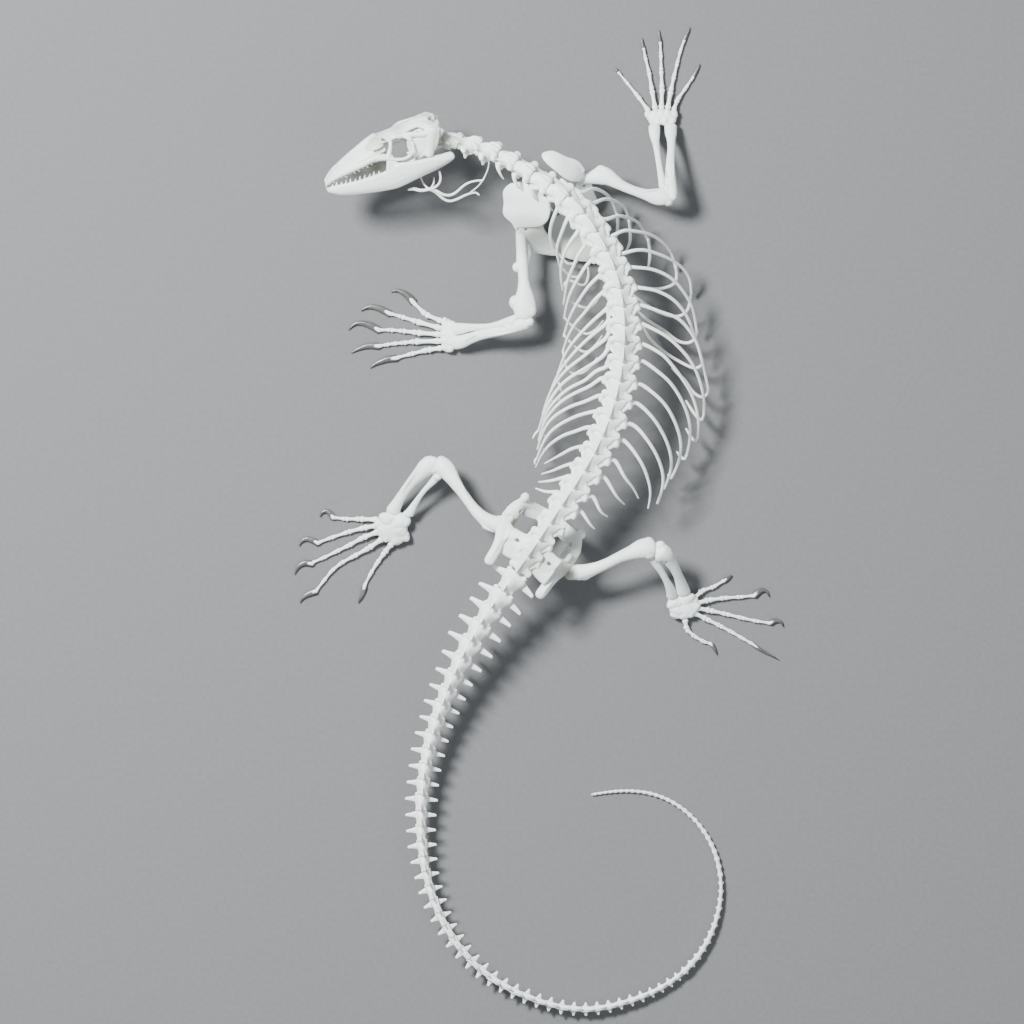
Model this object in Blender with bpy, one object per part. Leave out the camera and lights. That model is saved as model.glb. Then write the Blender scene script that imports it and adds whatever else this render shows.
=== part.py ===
# Skeleton of a grown monitor lizard at life size, spread out on a floor as in a climbing pose.
# Lengths are millimetres in plan: right and down from the plan's corner, and up from the floor.
import math

import bmesh
import bpy
import numpy as np
from mathutils import Vector

for thing in list(bpy.data.objects):
    bpy.data.objects.remove(thing, do_unlink=True)

metresPerMm = 0.001
planCentre = (539.5, 522.0)
jointGap = 0.3

# The backbone: where its centre line runs (right, down, up) and how far its upper side leans to
# the animal's right, in degrees.
spineRoute = (
    (443, 141, 80, 66),
    (465, 147, 81, 60),
    (500, 160, 83, 44),
    (535, 180, 85, 28),
    (568, 202, 86, 16),
    (595, 235, 87, 8),
    (614, 271, 87, 2),
    (624, 327, 87, 0),
    (616, 402, 86, -6),
    (596, 455, 84, -9),
    (563, 508, 79, -9),
    (530, 557, 73, -8),
    (485, 620, 58, -7),
    (451, 684, 42, -4),
    (429, 748, 30, 0),
    (421, 813, 23.5, 0),
    (427, 876, 19, 0),
    (450, 933, 15.5, 0),
    (488, 975, 12.5, 0),
    (534, 999, 10.6, 0),
    (585, 1009, 9, 0),
    (630, 1000.5, 7.6, 0),
    (670, 982, 6.6, 0),
    (700, 953, 5.8, 0),
    (716, 920, 5.2, 0),
    (721, 887, 4.7, 0),
    (715, 853, 4.2, 0),
    (694, 819, 3.6, 0),
    (659, 796, 3.0, 0),
    (620, 791, 2.5, 0),
    (592, 794.5, 2.2, 0),
)
presacralCount = 26
sacralCount = 2
caudalCount = 85
neckCount = 6
waistedNeck = 6
sacrumRow = 11
# Where a vertebra stands ahead of or behind an even share of the backbone, in vertebrae.
presacralShift = ((0, 0.1), (4, 0.03), (7, 0.07), (10, 0.3), (12, 0.29), (14, 0.17), (16, 0.04),
                  (21, -0.15), (23, -0.1), (25, 0.0))
caudalPitch = ((0, 20), (1, 18), (3, 19.4), (5, 19), (7, 16.6), (8, 16.1), (14, 15.8), (20, 14.7),
               (28, 13.0), (33, 12.3), (39, 11.5), (46, 9.5), (55, 8.5), (58, 8.2), (84, 5))

# Ribs of each side: backbone joint, reach sideways, sweep back, drop, and turn in degrees.
rightRibs = (
    (7, 38, 38, 43, 145),
    (8, 46, 46, 48, 135),
    (9, 53, 54, 51, 124),
    (10, 59, 62, 53, 114),
    (12, 68, 72, 55, 102),
    (14, 76, 86, 57, 94),
    (15, 77, 88, 57, 91),
    (16, 74, 74, 56, 102),
    (18, 70, 63, 54, 102),
    (20, 69, 53, 44, 86),
    (21, 58, 24, 32, 50),
    (22, 50, 14, 24, 45),
    (24, 37, 9, 10, 55),
)
leftRibs = (
    (7, 42, 34, 44, 120),
    (8, 52, 42, 48, 112),
    (10, 60, 60, 52, 105),
    (12, 60, 82, 55, 96),
    (14, 64, 74, 57, 80),
    (16, 71, 52, 56, 35),
    (18, 67, 49, 54, 50),
    (19, 60, 46, 52, 80),
    (20, 53, 51, 44, 97),
    (21, 42, 35, 32, 48),
    (22, 37, 28, 24, 42),
    (24, 34, 9, 10, 55),
)
firstRib = 7
lastRib = 24
ribRoot = (10.0, 2.5)
# How far ahead of its joint's middle a rib leaves the backbone.
ribAhead = ((7, -2), (12, -1), (15, 1), (19, 1.5), (22, 4), (24, 6))
ribThick = 1.7


def plan(right, down, up):
    return Vector((right - planCentre[0], planCentre[1] - down, up))


def splineThrough(rows):
    # Natural cubic through rows whose first three columns are a position.
    rows = np.array(rows, float)
    steps = np.linalg.norm(np.diff(rows[:, :3], axis=0), axis=1)
    knots = np.concatenate([[0], np.cumsum(steps)])
    count = len(rows)
    system = np.eye(count)
    right = np.zeros_like(rows)
    for i in range(1, count - 1):
        before, after = steps[i - 1], steps[i]
        system[i, i - 1 : i + 2] = before, 2 * (before + after), after
        rise = (rows[i + 1] - rows[i]) / after
        right[i] = 6 * (rise - (rows[i] - rows[i - 1]) / before)
    bend = np.linalg.solve(system, right)

    def at(knot):
        i = int(np.clip(np.searchsorted(knots, knot) - 1, 0, count - 2))
        b = (knot - knots[i]) / steps[i]
        a = 1 - b
        curve = (a**3 - a) * bend[i] + (b**3 - b) * bend[i + 1]
        return a * rows[i] + b * rows[i + 1] + curve * steps[i] ** 2 / 6

    return at, knots


spineRows = [tuple(plan(*row[:3])) + (row[3],) for row in spineRoute]
spineAt, spineKnots = splineThrough(spineRows)
fineKnots = np.linspace(0, spineKnots[-1], 1200)
finePlaces = np.array([spineAt(knot)[:3] for knot in fineKnots])
fineArc = np.concatenate([[0], np.cumsum(np.linalg.norm(np.diff(finePlaces, axis=0), axis=1))])


def spineFrame(arc):
    knot = np.interp(arc, fineArc, fineKnots)
    here = spineAt(knot)
    ahead = spineAt(max(knot - 1, 0))
    behind = spineAt(min(knot + 1, spineKnots[-1]))
    forward = Vector(ahead[:3] - behind[:3]).normalized()
    side = forward.cross(Vector((0, 0, 1))).normalized()
    top = side.cross(forward).normalized()
    lean = math.radians(here[3])
    dorsal = top * math.cos(lean) + side * math.sin(lean)
    right = side * math.cos(lean) - top * math.sin(lean)
    return Vector(here[:3]), right, forward, dorsal


def local(frame, x, y, z):
    return frame[0] + frame[1] * x + frame[2] * y + frame[3] * z


def tableAt(table, index):
    table = np.array(table, float)
    return [float(np.interp(index, table[:, 0], table[:, k])) for k in range(1, table.shape[1])]


sacrumArc = float(np.interp(spineKnots[sacrumRow], fineKnots, fineArc))
presacralPitch = sacrumArc / (presacralCount + sacralCount - 1)
jointArcs = [presacralPitch * (i + tableAt(presacralShift, i)[0]) for i in range(presacralCount + sacralCount)]
tailStart = sacrumArc + 0.85 * presacralPitch
caudalPitches = np.array([tableAt(caudalPitch, i)[0] for i in range(caudalCount)])
fixedPitches = 8
tailRest = fineArc[-1] - tailStart - caudalPitches[:fixedPitches].sum()
caudalPitches[fixedPitches:] *= tailRest / caudalPitches[fixedPitches:].sum()
jointArcs += list(tailStart + np.cumsum(caudalPitches) - caudalPitches / 2)


def meshObject(name, corners, faces):
    made = bmesh.new()
    verts = [made.verts.new(corner * metresPerMm) for corner in corners]
    for face in faces:
        made.faces.new([verts[i] for i in face])
    bmesh.ops.recalc_face_normals(made, faces=made.faces)
    mesh = bpy.data.meshes.new(name)
    made.to_mesh(mesh)
    made.free()
    return bpy.data.objects.new(name, mesh)


def loft(rings, name="loft"):
    # A skin over unlike sections, closed flat at both ends.
    sides = len(rings[0])
    corners = [corner for ring in rings for corner in ring]
    faces = []
    for i in range(len(rings) - 1):
        for j in range(sides):
            a, b = i * sides + j, i * sides + (j + 1) % sides
            faces.append((a, b, b + sides, a + sides))
    faces.append(tuple(range(sides)))
    faces.append(tuple(range((len(rings) - 1) * sides, len(rings) * sides)))
    return meshObject(name, corners, faces)


def ring(centre, across, along, a, b, sides, turn=0.5):
    steps = [2 * math.pi * (i + turn) / sides for i in range(sides)]
    return [centre + across * a * math.cos(t) + along * b * math.sin(t) for t in steps]


def bone(points, radii, sides=6, flat=1.0, up=None):
    # A limb that follows points, its radius given at each; flat is its height for its width.
    points = [Vector(point) for point in points]
    rings = []
    for i, point in enumerate(points):
        way = (points[min(i + 1, len(points) - 1)] - points[max(i - 1, 0)]).normalized()
        lead = Vector(up) if up else Vector((0, 0, 1))
        if abs(lead.dot(way)) > 0.95:
            lead = Vector((0.3, 1, 0)).normalized()
        across = way.cross(lead).normalized()
        height = across.cross(way).normalized()
        rings.append(ring(point, across, height, radii[i], radii[i] * flat, sides))
    return loft(rings, "bone")


def smoothBone(points, radii, count, sides=5, flat=1.0, up=None):
    at, knots = splineThrough([tuple(p) + (r,) for p, r in zip(points, radii)])
    rows = [at(knot) for knot in np.linspace(0, knots[-1], count)]
    return bone([row[:3] for row in rows], [max(row[3], 0.3) for row in rows], sides, flat, up)


def block(frame, sections):
    # Rectangles stacked from belly to back: height, half width, half length, middle, in a frame.
    rings = []
    for z, halfX, halfY, midY in sections:
        rings.append([
            local(frame, -halfX, midY - halfY, z),
            local(frame, halfX, midY - halfY, z),
            local(frame, halfX, midY + halfY, z),
            local(frame, -halfX, midY + halfY, z),
        ])
    return loft(rings, "block")


def ball(centre, radii, segments=8, axes=None):
    made = bmesh.new()
    bmesh.ops.create_uvsphere(made, u_segments=segments, v_segments=segments // 2, radius=1)
    axes = axes or (Vector((1, 0, 0)), Vector((0, 1, 0)), Vector((0, 0, 1)))
    for vert in made.verts:
        place = sum((axes[k] * vert.co[k] * radii[k] for k in range(3)), Vector(centre))
        vert.co = place * metresPerMm
    bmesh.ops.recalc_face_normals(made, faces=made.faces)
    mesh = bpy.data.meshes.new("ball")
    made.to_mesh(mesh)
    made.free()
    return bpy.data.objects.new("ball", mesh)


def slab(outline, thick, dome=0.0):
    # A plate whose outline is given in space, bulged at its middle on its outer side.
    outline = [Vector(point) for point in outline]
    middle = sum(outline, Vector()) / len(outline)
    normal = Vector()
    for i, point in enumerate(outline):
        normal += (point - middle).cross(outline[(i + 1) % len(outline)] - middle)
    normal.normalize()
    if normal.z < 0:
        normal = -normal
    count = len(outline)
    corners = [p + normal * thick / 2 for p in outline] + [p - normal * thick / 2 for p in outline]
    corners += [middle + normal * (dome + thick / 2), middle + normal * (dome - thick / 2)]
    faces = []
    for i in range(count):
        j = (i + 1) % count
        faces.append((i, j, j + count, i + count))
        faces.append((i, j, 2 * count))
        faces.append((i + count, j + count, 2 * count + 1))
    return meshObject("slab", corners, faces)


def evaluatedCopy(thing):
    bpy.context.view_layer.update()
    graph = bpy.context.evaluated_depsgraph_get()
    return bpy.data.meshes.new_from_object(thing.evaluated_get(graph))


def keepLargest(mesh):
    made = bmesh.new()
    made.from_mesh(mesh)
    left = set(made.verts)
    bodies = []
    while left:
        body, edge = set(), [left.pop()]
        while edge:
            vert = edge.pop()
            body.add(vert)
            for line in vert.link_edges:
                other = line.other_vert(vert)
                if other in left:
                    left.discard(other)
                    edge.append(other)
        bodies.append(body)

    def volume(body):
        total = 0.0
        for face in {f for vert in body for f in vert.link_faces}:
            a = face.verts[0].co
            for b, c in zip(face.verts[1:-1], face.verts[2:]):
                total += a.dot(b.co.cross(c.co)) / 6
        return total

    bodies.sort(key=volume)
    spare = [vert for body in bodies[:-1] for vert in body]
    if spare:
        bmesh.ops.delete(made, geom=spare, context="VERTS")
    bmesh.ops.triangulate(made, faces=made.faces)
    made.to_mesh(mesh)
    made.free()


def boolean(base, others, kind):
    heap = bpy.data.collections.new("heap")
    bpy.context.scene.collection.children.link(heap)
    bpy.context.scene.collection.objects.link(base)
    for other in others:
        heap.objects.link(other)
    change = base.modifiers.new("change", "BOOLEAN")
    change.operation = kind
    change.operand_type = "COLLECTION"
    change.collection = heap
    change.solver = "MANIFOLD"
    mesh = evaluatedCopy(base)
    bpy.data.objects.remove(base, do_unlink=True)
    for other in others:
        bpy.data.objects.remove(other, do_unlink=True)
    bpy.data.collections.remove(heap)
    return bpy.data.objects.new("joined", mesh)


def union(pieces):
    return boolean(pieces[0], pieces[1:], "UNION") if len(pieces) > 1 else pieces[0]


def cut(base, *cutters):
    return boolean(base, list(cutters), "DIFFERENCE")


def halfSpace(point, outward, size=60):
    # A box whose face stands on the point, reaching outward.
    outward = Vector(outward).normalized()
    lead = Vector((0, 0, 1)) if abs(outward.z) < 0.9 else Vector((1, 0, 0))
    across = outward.cross(lead).normalized()
    along = across.cross(outward)
    near = [Vector(point) + (across * a + along * b) * size for a, b in ((-1, -1), (1, -1), (1, 1), (-1, 1))]
    return loft([near, [corner + outward * size for corner in near]], "halfSpace")


def material(name, colour, roughness):
    made = bpy.data.materials.new(name)
    made.use_nodes = True
    shader = made.node_tree.nodes["Principled BSDF"]
    shader.inputs["Base Color"].default_value = (*colour, 1)
    shader.inputs["Roughness"].default_value = roughness
    shader.inputs["Metallic"].default_value = 0.0
    return made


boneWhite = material("bone", (0.78, 0.82, 0.79), 0.55)
gristle = material("cartilage", (0.55, 0.58, 0.53), 0.5)
horn = material("horn", (0.09, 0.07, 0.06), 0.35)
skeleton = bpy.data.collections.new("monitor_skeleton")
bpy.context.scene.collection.children.link(skeleton)


def finish(name, made, slot=boneWhite):
    made.name = name
    made.data.name = name
    keepLargest(made.data)
    made.data.materials.clear()
    made.data.materials.append(slot)
    skeleton.objects.link(made)
    return made


# Vertebrae of the neck and trunk. A point beside the backbone follows its bend.
def along(arc, x, y, z):
    frame = spineFrame(arc - y)
    return frame[0] + frame[1] * x + frame[3] * z


def trunkSizes(index):
    wide = float(np.interp(index, (0, 3, 8, 14, 20, 25), (8, 11, 14.5, 16.5, 16, 15)))
    tall = float(np.interp(index, (0, 2, 6, 10, 25), (11, 15.5, 18, 18, 19)))
    body = float(np.interp(index, (0, 8, 25), (5.0, 6.2, 6.4)))
    return wide, tall, body


def bodyChain(first, last, sides):
    # One skin along a row of vertebral bodies, waisted in the neck. sides is both or one.
    rings = []
    arcs = []
    for index in range(first, last):
        arcs.append((jointArcs[index] - presacralPitch * 0.5, 1.0, index))
        if index < waistedNeck:
            arcs.append((jointArcs[index], 0.74, index))
    arcs.append((jointArcs[last - 1] + presacralPitch * 0.5, 1.0, last - 1))
    for arc, scale, index in arcs:
        body = trunkSizes(index)[2] * scale
        frame = spineFrame(arc)
        profile = ((0.6, 0.85), (1.0, 0.0), (0.6, -0.8))
        if len(sides) == 2:
            corners = [(x * body, z * body) for x, z in profile]
            corners += [(-x * body, z * body) for x, z in reversed(profile)]
        else:
            corners = [(middleGap, 0.85 * body)] + [(x * body, z * body) for x, z in profile]
            corners = [(sides[0] * x, z) for x, z in corners + [(middleGap, -0.8 * body)]]
        rings.append([frame[0] + frame[1] * x + frame[3] * z for x, z in corners])
    return loft(rings, "bodies")


def archPieces(index, sides):
    # Arch with its spine, and the wing that bears the facets, whole or as one half.
    wide, tall, body = trunkSizes(index)
    arc = jointArcs[index]
    arch, wing = [], []
    for z, half, reach, middle in ((1.5, 5.0, 6.4, 0), (8.4, 2.6, 6.6, -0.3), (tall, 1.2, 5.2, -2.5)):
        inner = 1.4 if z < 5 else middleGap
        low = -half if len(sides) == 2 else sides[0] * inner
        high = half if len(sides) == 2 else sides[0] * half
        arch.append([along(arc, low, middle - reach, z), along(arc, high, middle - reach, z),
                     along(arc, high, middle + reach, z), along(arc, low, middle + reach, z)])
    rows = [(2.4, -0.4, 9.0, 2.6, 4.6), (wide, 2.2, 3.6, 2.0, 2.5)]
    if len(sides) == 2:
        rows = [(-wide, *rows[1][1:]), (0, *rows[0][1:]), rows[1]]
    else:
        rows = [(sides[0] * x, *rest) for x, *rest in rows]
    for x, middle, reach, half, z in rows:
        wing.append([along(arc, x, middle - reach, z - half), along(arc, x, middle + reach, z - half),
                     along(arc, x, middle + reach, z + half), along(arc, x, middle - reach, z + half)])
    return [loft(arch, "arch"), loft(wing, "wing")]


middleGap = 0.2


def ribPoints(index, side, count=6):
    frame = spineFrame(jointArcs[index])
    reach, back, drop, turn = tableAt(rightRibs if side > 0 else leftRibs, index)
    ahead = tableAt(ribAhead, index)[0]
    turn = math.radians(turn)
    full = math.sin(min(turn, math.pi / 2))
    points = []
    for i in range(count):
        angle = turn * i / (count - 1)
        x = ribRoot[0] + (reach - ribRoot[0]) * math.sin(angle) / full
        away = (1 - math.cos(angle)) / (1 - math.cos(min(turn, math.pi / 2)))
        points.append(local(frame, side * x, ahead - back * away, ribRoot[1] - drop * away))
    return points


def rib(index, side):
    points = ribPoints(index, side)
    floor = 9.0
    points = [Vector((p.x, p.y, max(p.z, floor))) for p in points]
    last = len(points) - 1
    return bone(points, [ribThick * (1.15 - 0.35 * i / last) for i in range(last + 1)], sides=4, flat=1.0)


# Neck and trunk. The trunk is parted along its middle, each side with its own ribs.
bothSides = (-1, 1)
neckPieces = [bodyChain(0, neckCount, bothSides)]
for index in range(neckCount):
    neckPieces += archPieces(index, bothSides)
    if index:
        frame = spineFrame(jointArcs[index])
        neckPieces.append(block(frame, ((-13, 1.0, 1.6, -4), (-2, 2.2, 3.6, -2))))
neck = union(neckPieces)


def across(arc, outward):
    frame = spineFrame(arc)
    return halfSpace(frame[0] + outward * frame[2] * jointGap / 2, outward * frame[2])


neckEnd = (jointArcs[neckCount - 1] + jointArcs[neckCount]) / 2
trunkEnd = (jointArcs[presacralCount - 1] + jointArcs[presacralCount]) / 2
sacrumEnd = tailStart


def clipBetween(made, headArc, tailArc):
    # Keeps what lies between two places on the backbone.
    cutters = []
    for arc, outward in ((headArc, 1), (tailArc, -1)):
        if arc is not None:
            frame = spineFrame(arc)
            point = frame[0] - outward * frame[2] * jointGap / 2
            cutters.append(halfSpace(point, outward * frame[2], 40))
    return cut(made, *cutters) if cutters else made


neck = clipBetween(neck, None, neckEnd)


trunk = {}
for side, name in ((1, "torso_right"), (-1, "torso_left")):
    column = [bodyChain(neckCount, presacralCount, (side,))]
    for index in range(neckCount, presacralCount):
        column += archPieces(index, (side,))
    ribs = [rib(index, side) for index in range(firstRib, lastRib + 1)]
    trunk[name] = clipBetween(union(column + ribs), neckEnd, trunkEnd)

# Sacrum.
sacrumPieces = [bodyChain(presacralCount, presacralCount + sacralCount, bothSides)]
for index in range(presacralCount, presacralCount + sacralCount):
    sacrumPieces += archPieces(index, bothSides)
sacralRib = 25.6
for index, sweep in ((presacralCount, -5), (presacralCount + 1, 0)):
    frame = spineFrame(jointArcs[index])
    for side in bothSides:
        sacrumPieces.append(bone(
            [local(frame, 0, 0, 0), local(frame, side * 12, sweep * 0.4, 0.5),
             local(frame, side * sacralRib, sweep, 0)],
            [6.2, 6, 8],
            sides=6,
            flat=0.7,
            up=frame[3],
        ))
finish("sacrum", clipBetween(union(sacrumPieces), trunkEnd, sacrumEnd))

# Tail, in six lengths. Each table gives a size along the row of tail vertebrae.
tailParts = (("tail_base", 0, 8), ("tail_2", 8, 17), ("tail_3", 17, 28), ("tail_4", 28, 41),
             ("tail_5", 41, 58), ("tail_tip", 58, 85))
armSpan = ((0, 52), (4, 50), (5, 45), (7, 39), (10, 35), (13, 33), (16, 30.5), (18, 27), (23, 22),
           (30, 16), (40, 12), (47, 9), (54, 6.5), (58, 5), (84, 2.6))
bodyHalf = ((0, 6.2), (7, 5.6), (13, 4.9), (33, 3.6), (46, 2.9), (58, 2.4), (84, 1.3))
crestHeight = ((0, 19), (6, 18), (18, 13), (33, 8), (48, 4.6), (58, 3), (84, 1.3))
chevronDrop = ((0, 8), (1, 18), (4, 26), (10, 24), (18, 17), (28, 12), (58, 4), (84, 2))
crestedCount = 48
waistedCount = 24
bladedFrom = 26
firstTail = presacralCount + sacralCount


def caudalPieces(index):
    frame = spineFrame(jointArcs[firstTail + index])
    pitch = float(caudalPitches[index])
    half = tableAt(armSpan, index)[0] / 2
    body = tableAt(bodyHalf, index)[0]
    tall = tableAt(crestHeight, index)[0]
    low = tableAt(chevronDrop, index)[0]
    sweep = -0.3 * pitch - (6 if index == 0 else 0)
    pieces = []
    if half > body + 0.6:
        rings = []
        for x, y, halfY, halfZ in (
            (-half, sweep, 0.1 * pitch, 1.0),
            (0, 0.12 * pitch, 0.22 * pitch, 0.34 * body),
            (half, sweep, 0.1 * pitch, 1.0),
        ):
            rings.append([
                local(frame, x, y - halfY, -halfZ),
                local(frame, x, y + halfY, -halfZ),
                local(frame, x, y + halfY, halfZ),
                local(frame, x, y - halfY, halfZ),
            ])
        pieces.append(loft(rings, "arms"))
    if bladedFrom <= index < crestedCount:
        pieces.append(block(frame, (
            (-low - body * 0.5, 0.6, pitch * 0.14, -pitch * 0.55),
            (tall, 0.6, pitch * 0.16, -pitch * 0.25),
        )))
    elif index < bladedFrom:
        pieces.append(block(frame, (
            (body * 0.3, body * 0.5, pitch * 0.34, 0),
            (tall, 0.6, pitch * 0.16, -pitch * 0.3),
        )))
        pieces.append(block(frame, (
            (-low - body * 0.5, 0.6, pitch * 0.14, -pitch * 0.62),
            (-body * 0.3, body * 0.42, pitch * 0.2, -pitch * 0.36),
        )))
    return pieces


def tailCore(first, last):
    # Four-sided bodies in a chain, waisted while they are large enough to show it.
    rings = []
    for index in range(first, last):
        pitch = float(caudalPitches[index])
        body = tableAt(bodyHalf, index)[0]
        for t, scale in ((-0.5, 1.0), (0.0, 0.76)) if index < waistedCount else ((-0.5, 0.9),):
            frame = spineFrame(jointArcs[firstTail + index] + t * pitch)
            rings.append(ring(frame[0], frame[1], frame[3], body * scale * 1.1, body * scale * 1.1, 4))
    frame = spineFrame(jointArcs[firstTail + last - 1] + float(caudalPitches[last - 1]) / 2)
    body = tableAt(bodyHalf, last - 1)[0] * (0.5 if last == caudalCount else 1.1)
    rings.append(ring(frame[0], frame[1], frame[3], body, body, 4))
    return loft(rings, "core")


floorReach = ((-300, -520), (300, -520), (300, 520), (-300, 520))
floorDepth = 40


def floorCut(made):
    top = [Vector((x, y, 0)) for x, y in floorReach]
    return cut(made, loft([top, [corner - Vector((0, 0, floorDepth)) for corner in top]], "floor"))


for name, first, last in tailParts:
    pieces = [tailCore(first, last)]
    for index in range(first, last):
        pieces += caudalPieces(index)
    headArc = jointArcs[firstTail + first] - float(caudalPitches[first]) / 2
    tailEnd = jointArcs[firstTail + last - 1] + float(caudalPitches[last - 1]) / 2
    made = clipBetween(union(pieces), headArc, tailEnd if last < caudalCount else None)
    finish(name, floorCut(made))

# Skull and jaws, in a frame of their own: right, forward from the condyle, up.
skullPlace = plan(443, 140, 80)
skullLean = math.radians(66)
skullForward = Vector((-0.92, -0.40, 0.0)).normalized()
skullSide = skullForward.cross(Vector((0, 0, 1))).normalized()
skullUp = Vector((0, 0, 1)) * math.cos(skullLean) + skullSide * math.sin(skullLean)
skullRight = skullSide * math.cos(skullLean) - Vector((0, 0, 1)) * math.sin(skullLean)
head = (skullPlace, skullRight, skullForward, skullUp)


def headLoft(sections, sides=8):
    # Sections across the head: forward, side, half width, bottom, top.
    rings = []
    for y, x, half, low, high in sections:
        centre = local(head, x, y, (low + high) / 2)
        rings.append(ring(centre, head[1], head[3], half, (high - low) / 2, sides))
    return loft(rings, "headLoft")


def headRod(points, radii, flat=1.0, sides=5):
    return bone([local(head, *point) for point in points], radii, sides, flat, head[3])


def toothRow(points, count, length, downward):
    at, knots = splineThrough(points)
    teeth = []
    for i in range(count):
        x, y, z = at(knots[-1] * (i + 0.5) / count)
        root = local(head, x, y, z - downward * 1.2)
        tip = local(head, x * 0.97, y - 1.0, z + downward * length)
        teeth.append(bone([root, tip], [1.1, 0.3], sides=3, up=head[2]))
    return teeth


skullPieces = [
    headLoft(((124.5, 0, 3.5, 3.5, 7.5), (117, 0, 9.5, 6.5, 13), (103, 0, 14, 9.5, 19.5), (87, 0, 17, 11, 26),
              (72, 0, 18.5, 12, 30.5), (62, 0, 18, 12.5, 31.5), (57, 0, 14, 14, 30))),
    headLoft(((64, 0, 13, 24, 31), (48, 0, 10, 25, 31), (34, 0, 13, 24, 31), (20, 0, 12, 22, 30),
              (9, 0, 14, 18, 27)), 6),
    headLoft(((-1, 0, 4, -3, 5), (4, 0, 8, -2, 16), (14, 0, 11, 0, 26), (28, 0, 7, 8, 26)), 6),
]
for side in bothSides:
    skullPieces += [
        headRod(((side * 5, 14, 25), (side * 14, 4, 22), (side * 20, -4, 17)), (4, 4, 4)),
        headRod(((side * 11, 36, 27), (side * 17, 28, 26), (side * 19.5, 14, 22), (side * 20, -2, 18)),
                (3.2, 2.6, 2.4, 2.8)),
        headRod(((side * 20.5, 0, 19), (side * 22.5, 12, 11), (side * 23.5, 19, 1)), (4.4, 4, 4.4)),
        headRod(((side * 16, 68, 15), (side * 21.4, 52, 11), (side * 22.6, 38, 12), (side * 21, 31, 18)),
                (3.4, 1.7, 1.7, 1.4)),
        headRod(((side * 10, 62, 28), (side * 16, 58, 22), (side * 18, 60, 13)), (3.2, 2.4, 3.2)),
        headRod(((side * 8, 66, 12), (side * 7, 52, -2), (side * 7, 42, -6), (side * 11, 29, -1.5),
                 (side * 20, 17, 2)), (2.6, 2.2, 2.0, 2.2, 2.2)),
        headRod(((side * 22, 36, 11), (side * 10, 30, -1)), (1.8, 1.8)),
        headRod(((side * 11, 27, -1), (side * 10, 22, 24)), (1.4, 1.4)),
        headRod(((side * 5, 4, 10), (side * 13, -1, 13), (side * 19.5, -3, 16)), (5, 4, 3.4)),
    ]
    row = [(side * 4, 122, 7), (side * 10, 112, 8.6), (side * 14, 98, 10.5), (side * 16.5, 82, 12),
           (side * 17.5, 66, 13)]
    skullPieces += toothRow(row, 11, 3.4, -1)
nostrils = [ball(local(head, side * 15, 75, 26.5), (7.5, 10, 6), 8, head[1:]) for side in bothSides]
raw = {"skull": cut(union(skullPieces), *nostrils)}

# The jaw hangs askew, its right half lower and closer in behind the teeth.
jawHalves = {
    "mandible_left": (
        ((126, 1.4, 1.0, -3.5, 2), (116, 6, 2.2, -10, 3.4), (100, 11, 2.6, -14, 3.4),
         (84, 14.5, 2.8, -18, 3.6), (68, 17.5, 3, -21, 4), (56, 19.5, 3, -22, 5),
         (46, 21, 3, -20, 6), (34, 22.5, 3.2, -18.5, 1), (18, 23.5, 3.6, -18.4, -2.4),
         (8, 23, 3.6, -17, -4), (-2.5, 21, 2.6, -14, -8)),
        ((20, 48, 0), (19.4, 49, 6), (17.6, 47, 13)),
        ((4, 121, 3.0), (10, 105, 2.8), (13.5, 88, 3), (17, 70, 3.4)),
    ),
    "mandible_right": (
        ((126, 1.4, 1.0, -3.5, 2), (116, 6, 2.2, -10, 3), (100, 10.5, 2.6, -15, 2),
         (84, 13, 2.8, -20, 0.6), (68, 14.5, 3, -23.5, -1.5), (56, 14.5, 3, -25.5, -5),
         (46, 14.5, 3, -26, -9.5), (34, 17, 3.2, -24.5, -6), (18, 23.5, 3.6, -18.4, -2.4),
         (8, 23, 3.6, -17, -4), (-2.5, 21, 2.6, -14, -8)),
        ((14.5, 58, -12), (14.2, 57, -8), (13.6, 55, -3)),
        ((4, 121, 2.6), (9.6, 105, 1.6), (12.4, 88, 0.4), (14.3, 72, -1.6)),
    ),
}
for side, name in ((1, "mandible_right"), (-1, "mandible_left")):
    sections, peak, teeth = jawHalves[name]
    pieces = [headLoft([(y, side * x, half, low, high) for y, x, half, low, high in sections], 6)]
    pieces.append(headRod([(side * x, y, z) for x, y, z in peak], (3.4, 2.4, 1.0)))
    row = [(side * x, y, z) for x, y, z in teeth]
    pieces += toothRow(row, 10, 3.2, 1)
    raw[name] = union(pieces)

# Hyoid: body, horns and loops of thin rods under the throat, the rear horn up to the neck.
hyoidHeight = 78


def rod(points, thick, count=8):
    spots = [plan(x, y, hyoidHeight + z) for x, y, z in points]
    return smoothBone(spots, [thick] * len(spots), count, sides=4)


raw["hyoid"] = union([
    rod(((409, 190, -2), (419, 191, -1), (433, 189, 0)), 1.5, 4),
    rod(((430, 190, 0), (439, 184, 6), (440, 178, 8)), 1.2, 5),
    rod(((422, 181, -6), (426, 187, -2), (432, 190, 0)), 1.0, 4),
    rod(((430, 189, 0), (441, 194, -1), (452, 195.5, -2), (461, 189, -1), (470, 183, 0),
         (481, 181, 2), (487, 174, 4), (490, 166, 6)), 1.3, 10),
    rod(((430, 190, 0), (441, 197, -4), (449, 202, -6), (461, 198, -7), (472, 194, -7), (479, 195, -6)), 1.2, 7),
])
raw["neck"] = neck
raw.update(trunk)


# Shoulder girdle and breastbone.
def plateFrom(rows, thick, dome=0.0):
    return slab([plan(*row) for row in rows], thick, dome)


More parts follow.
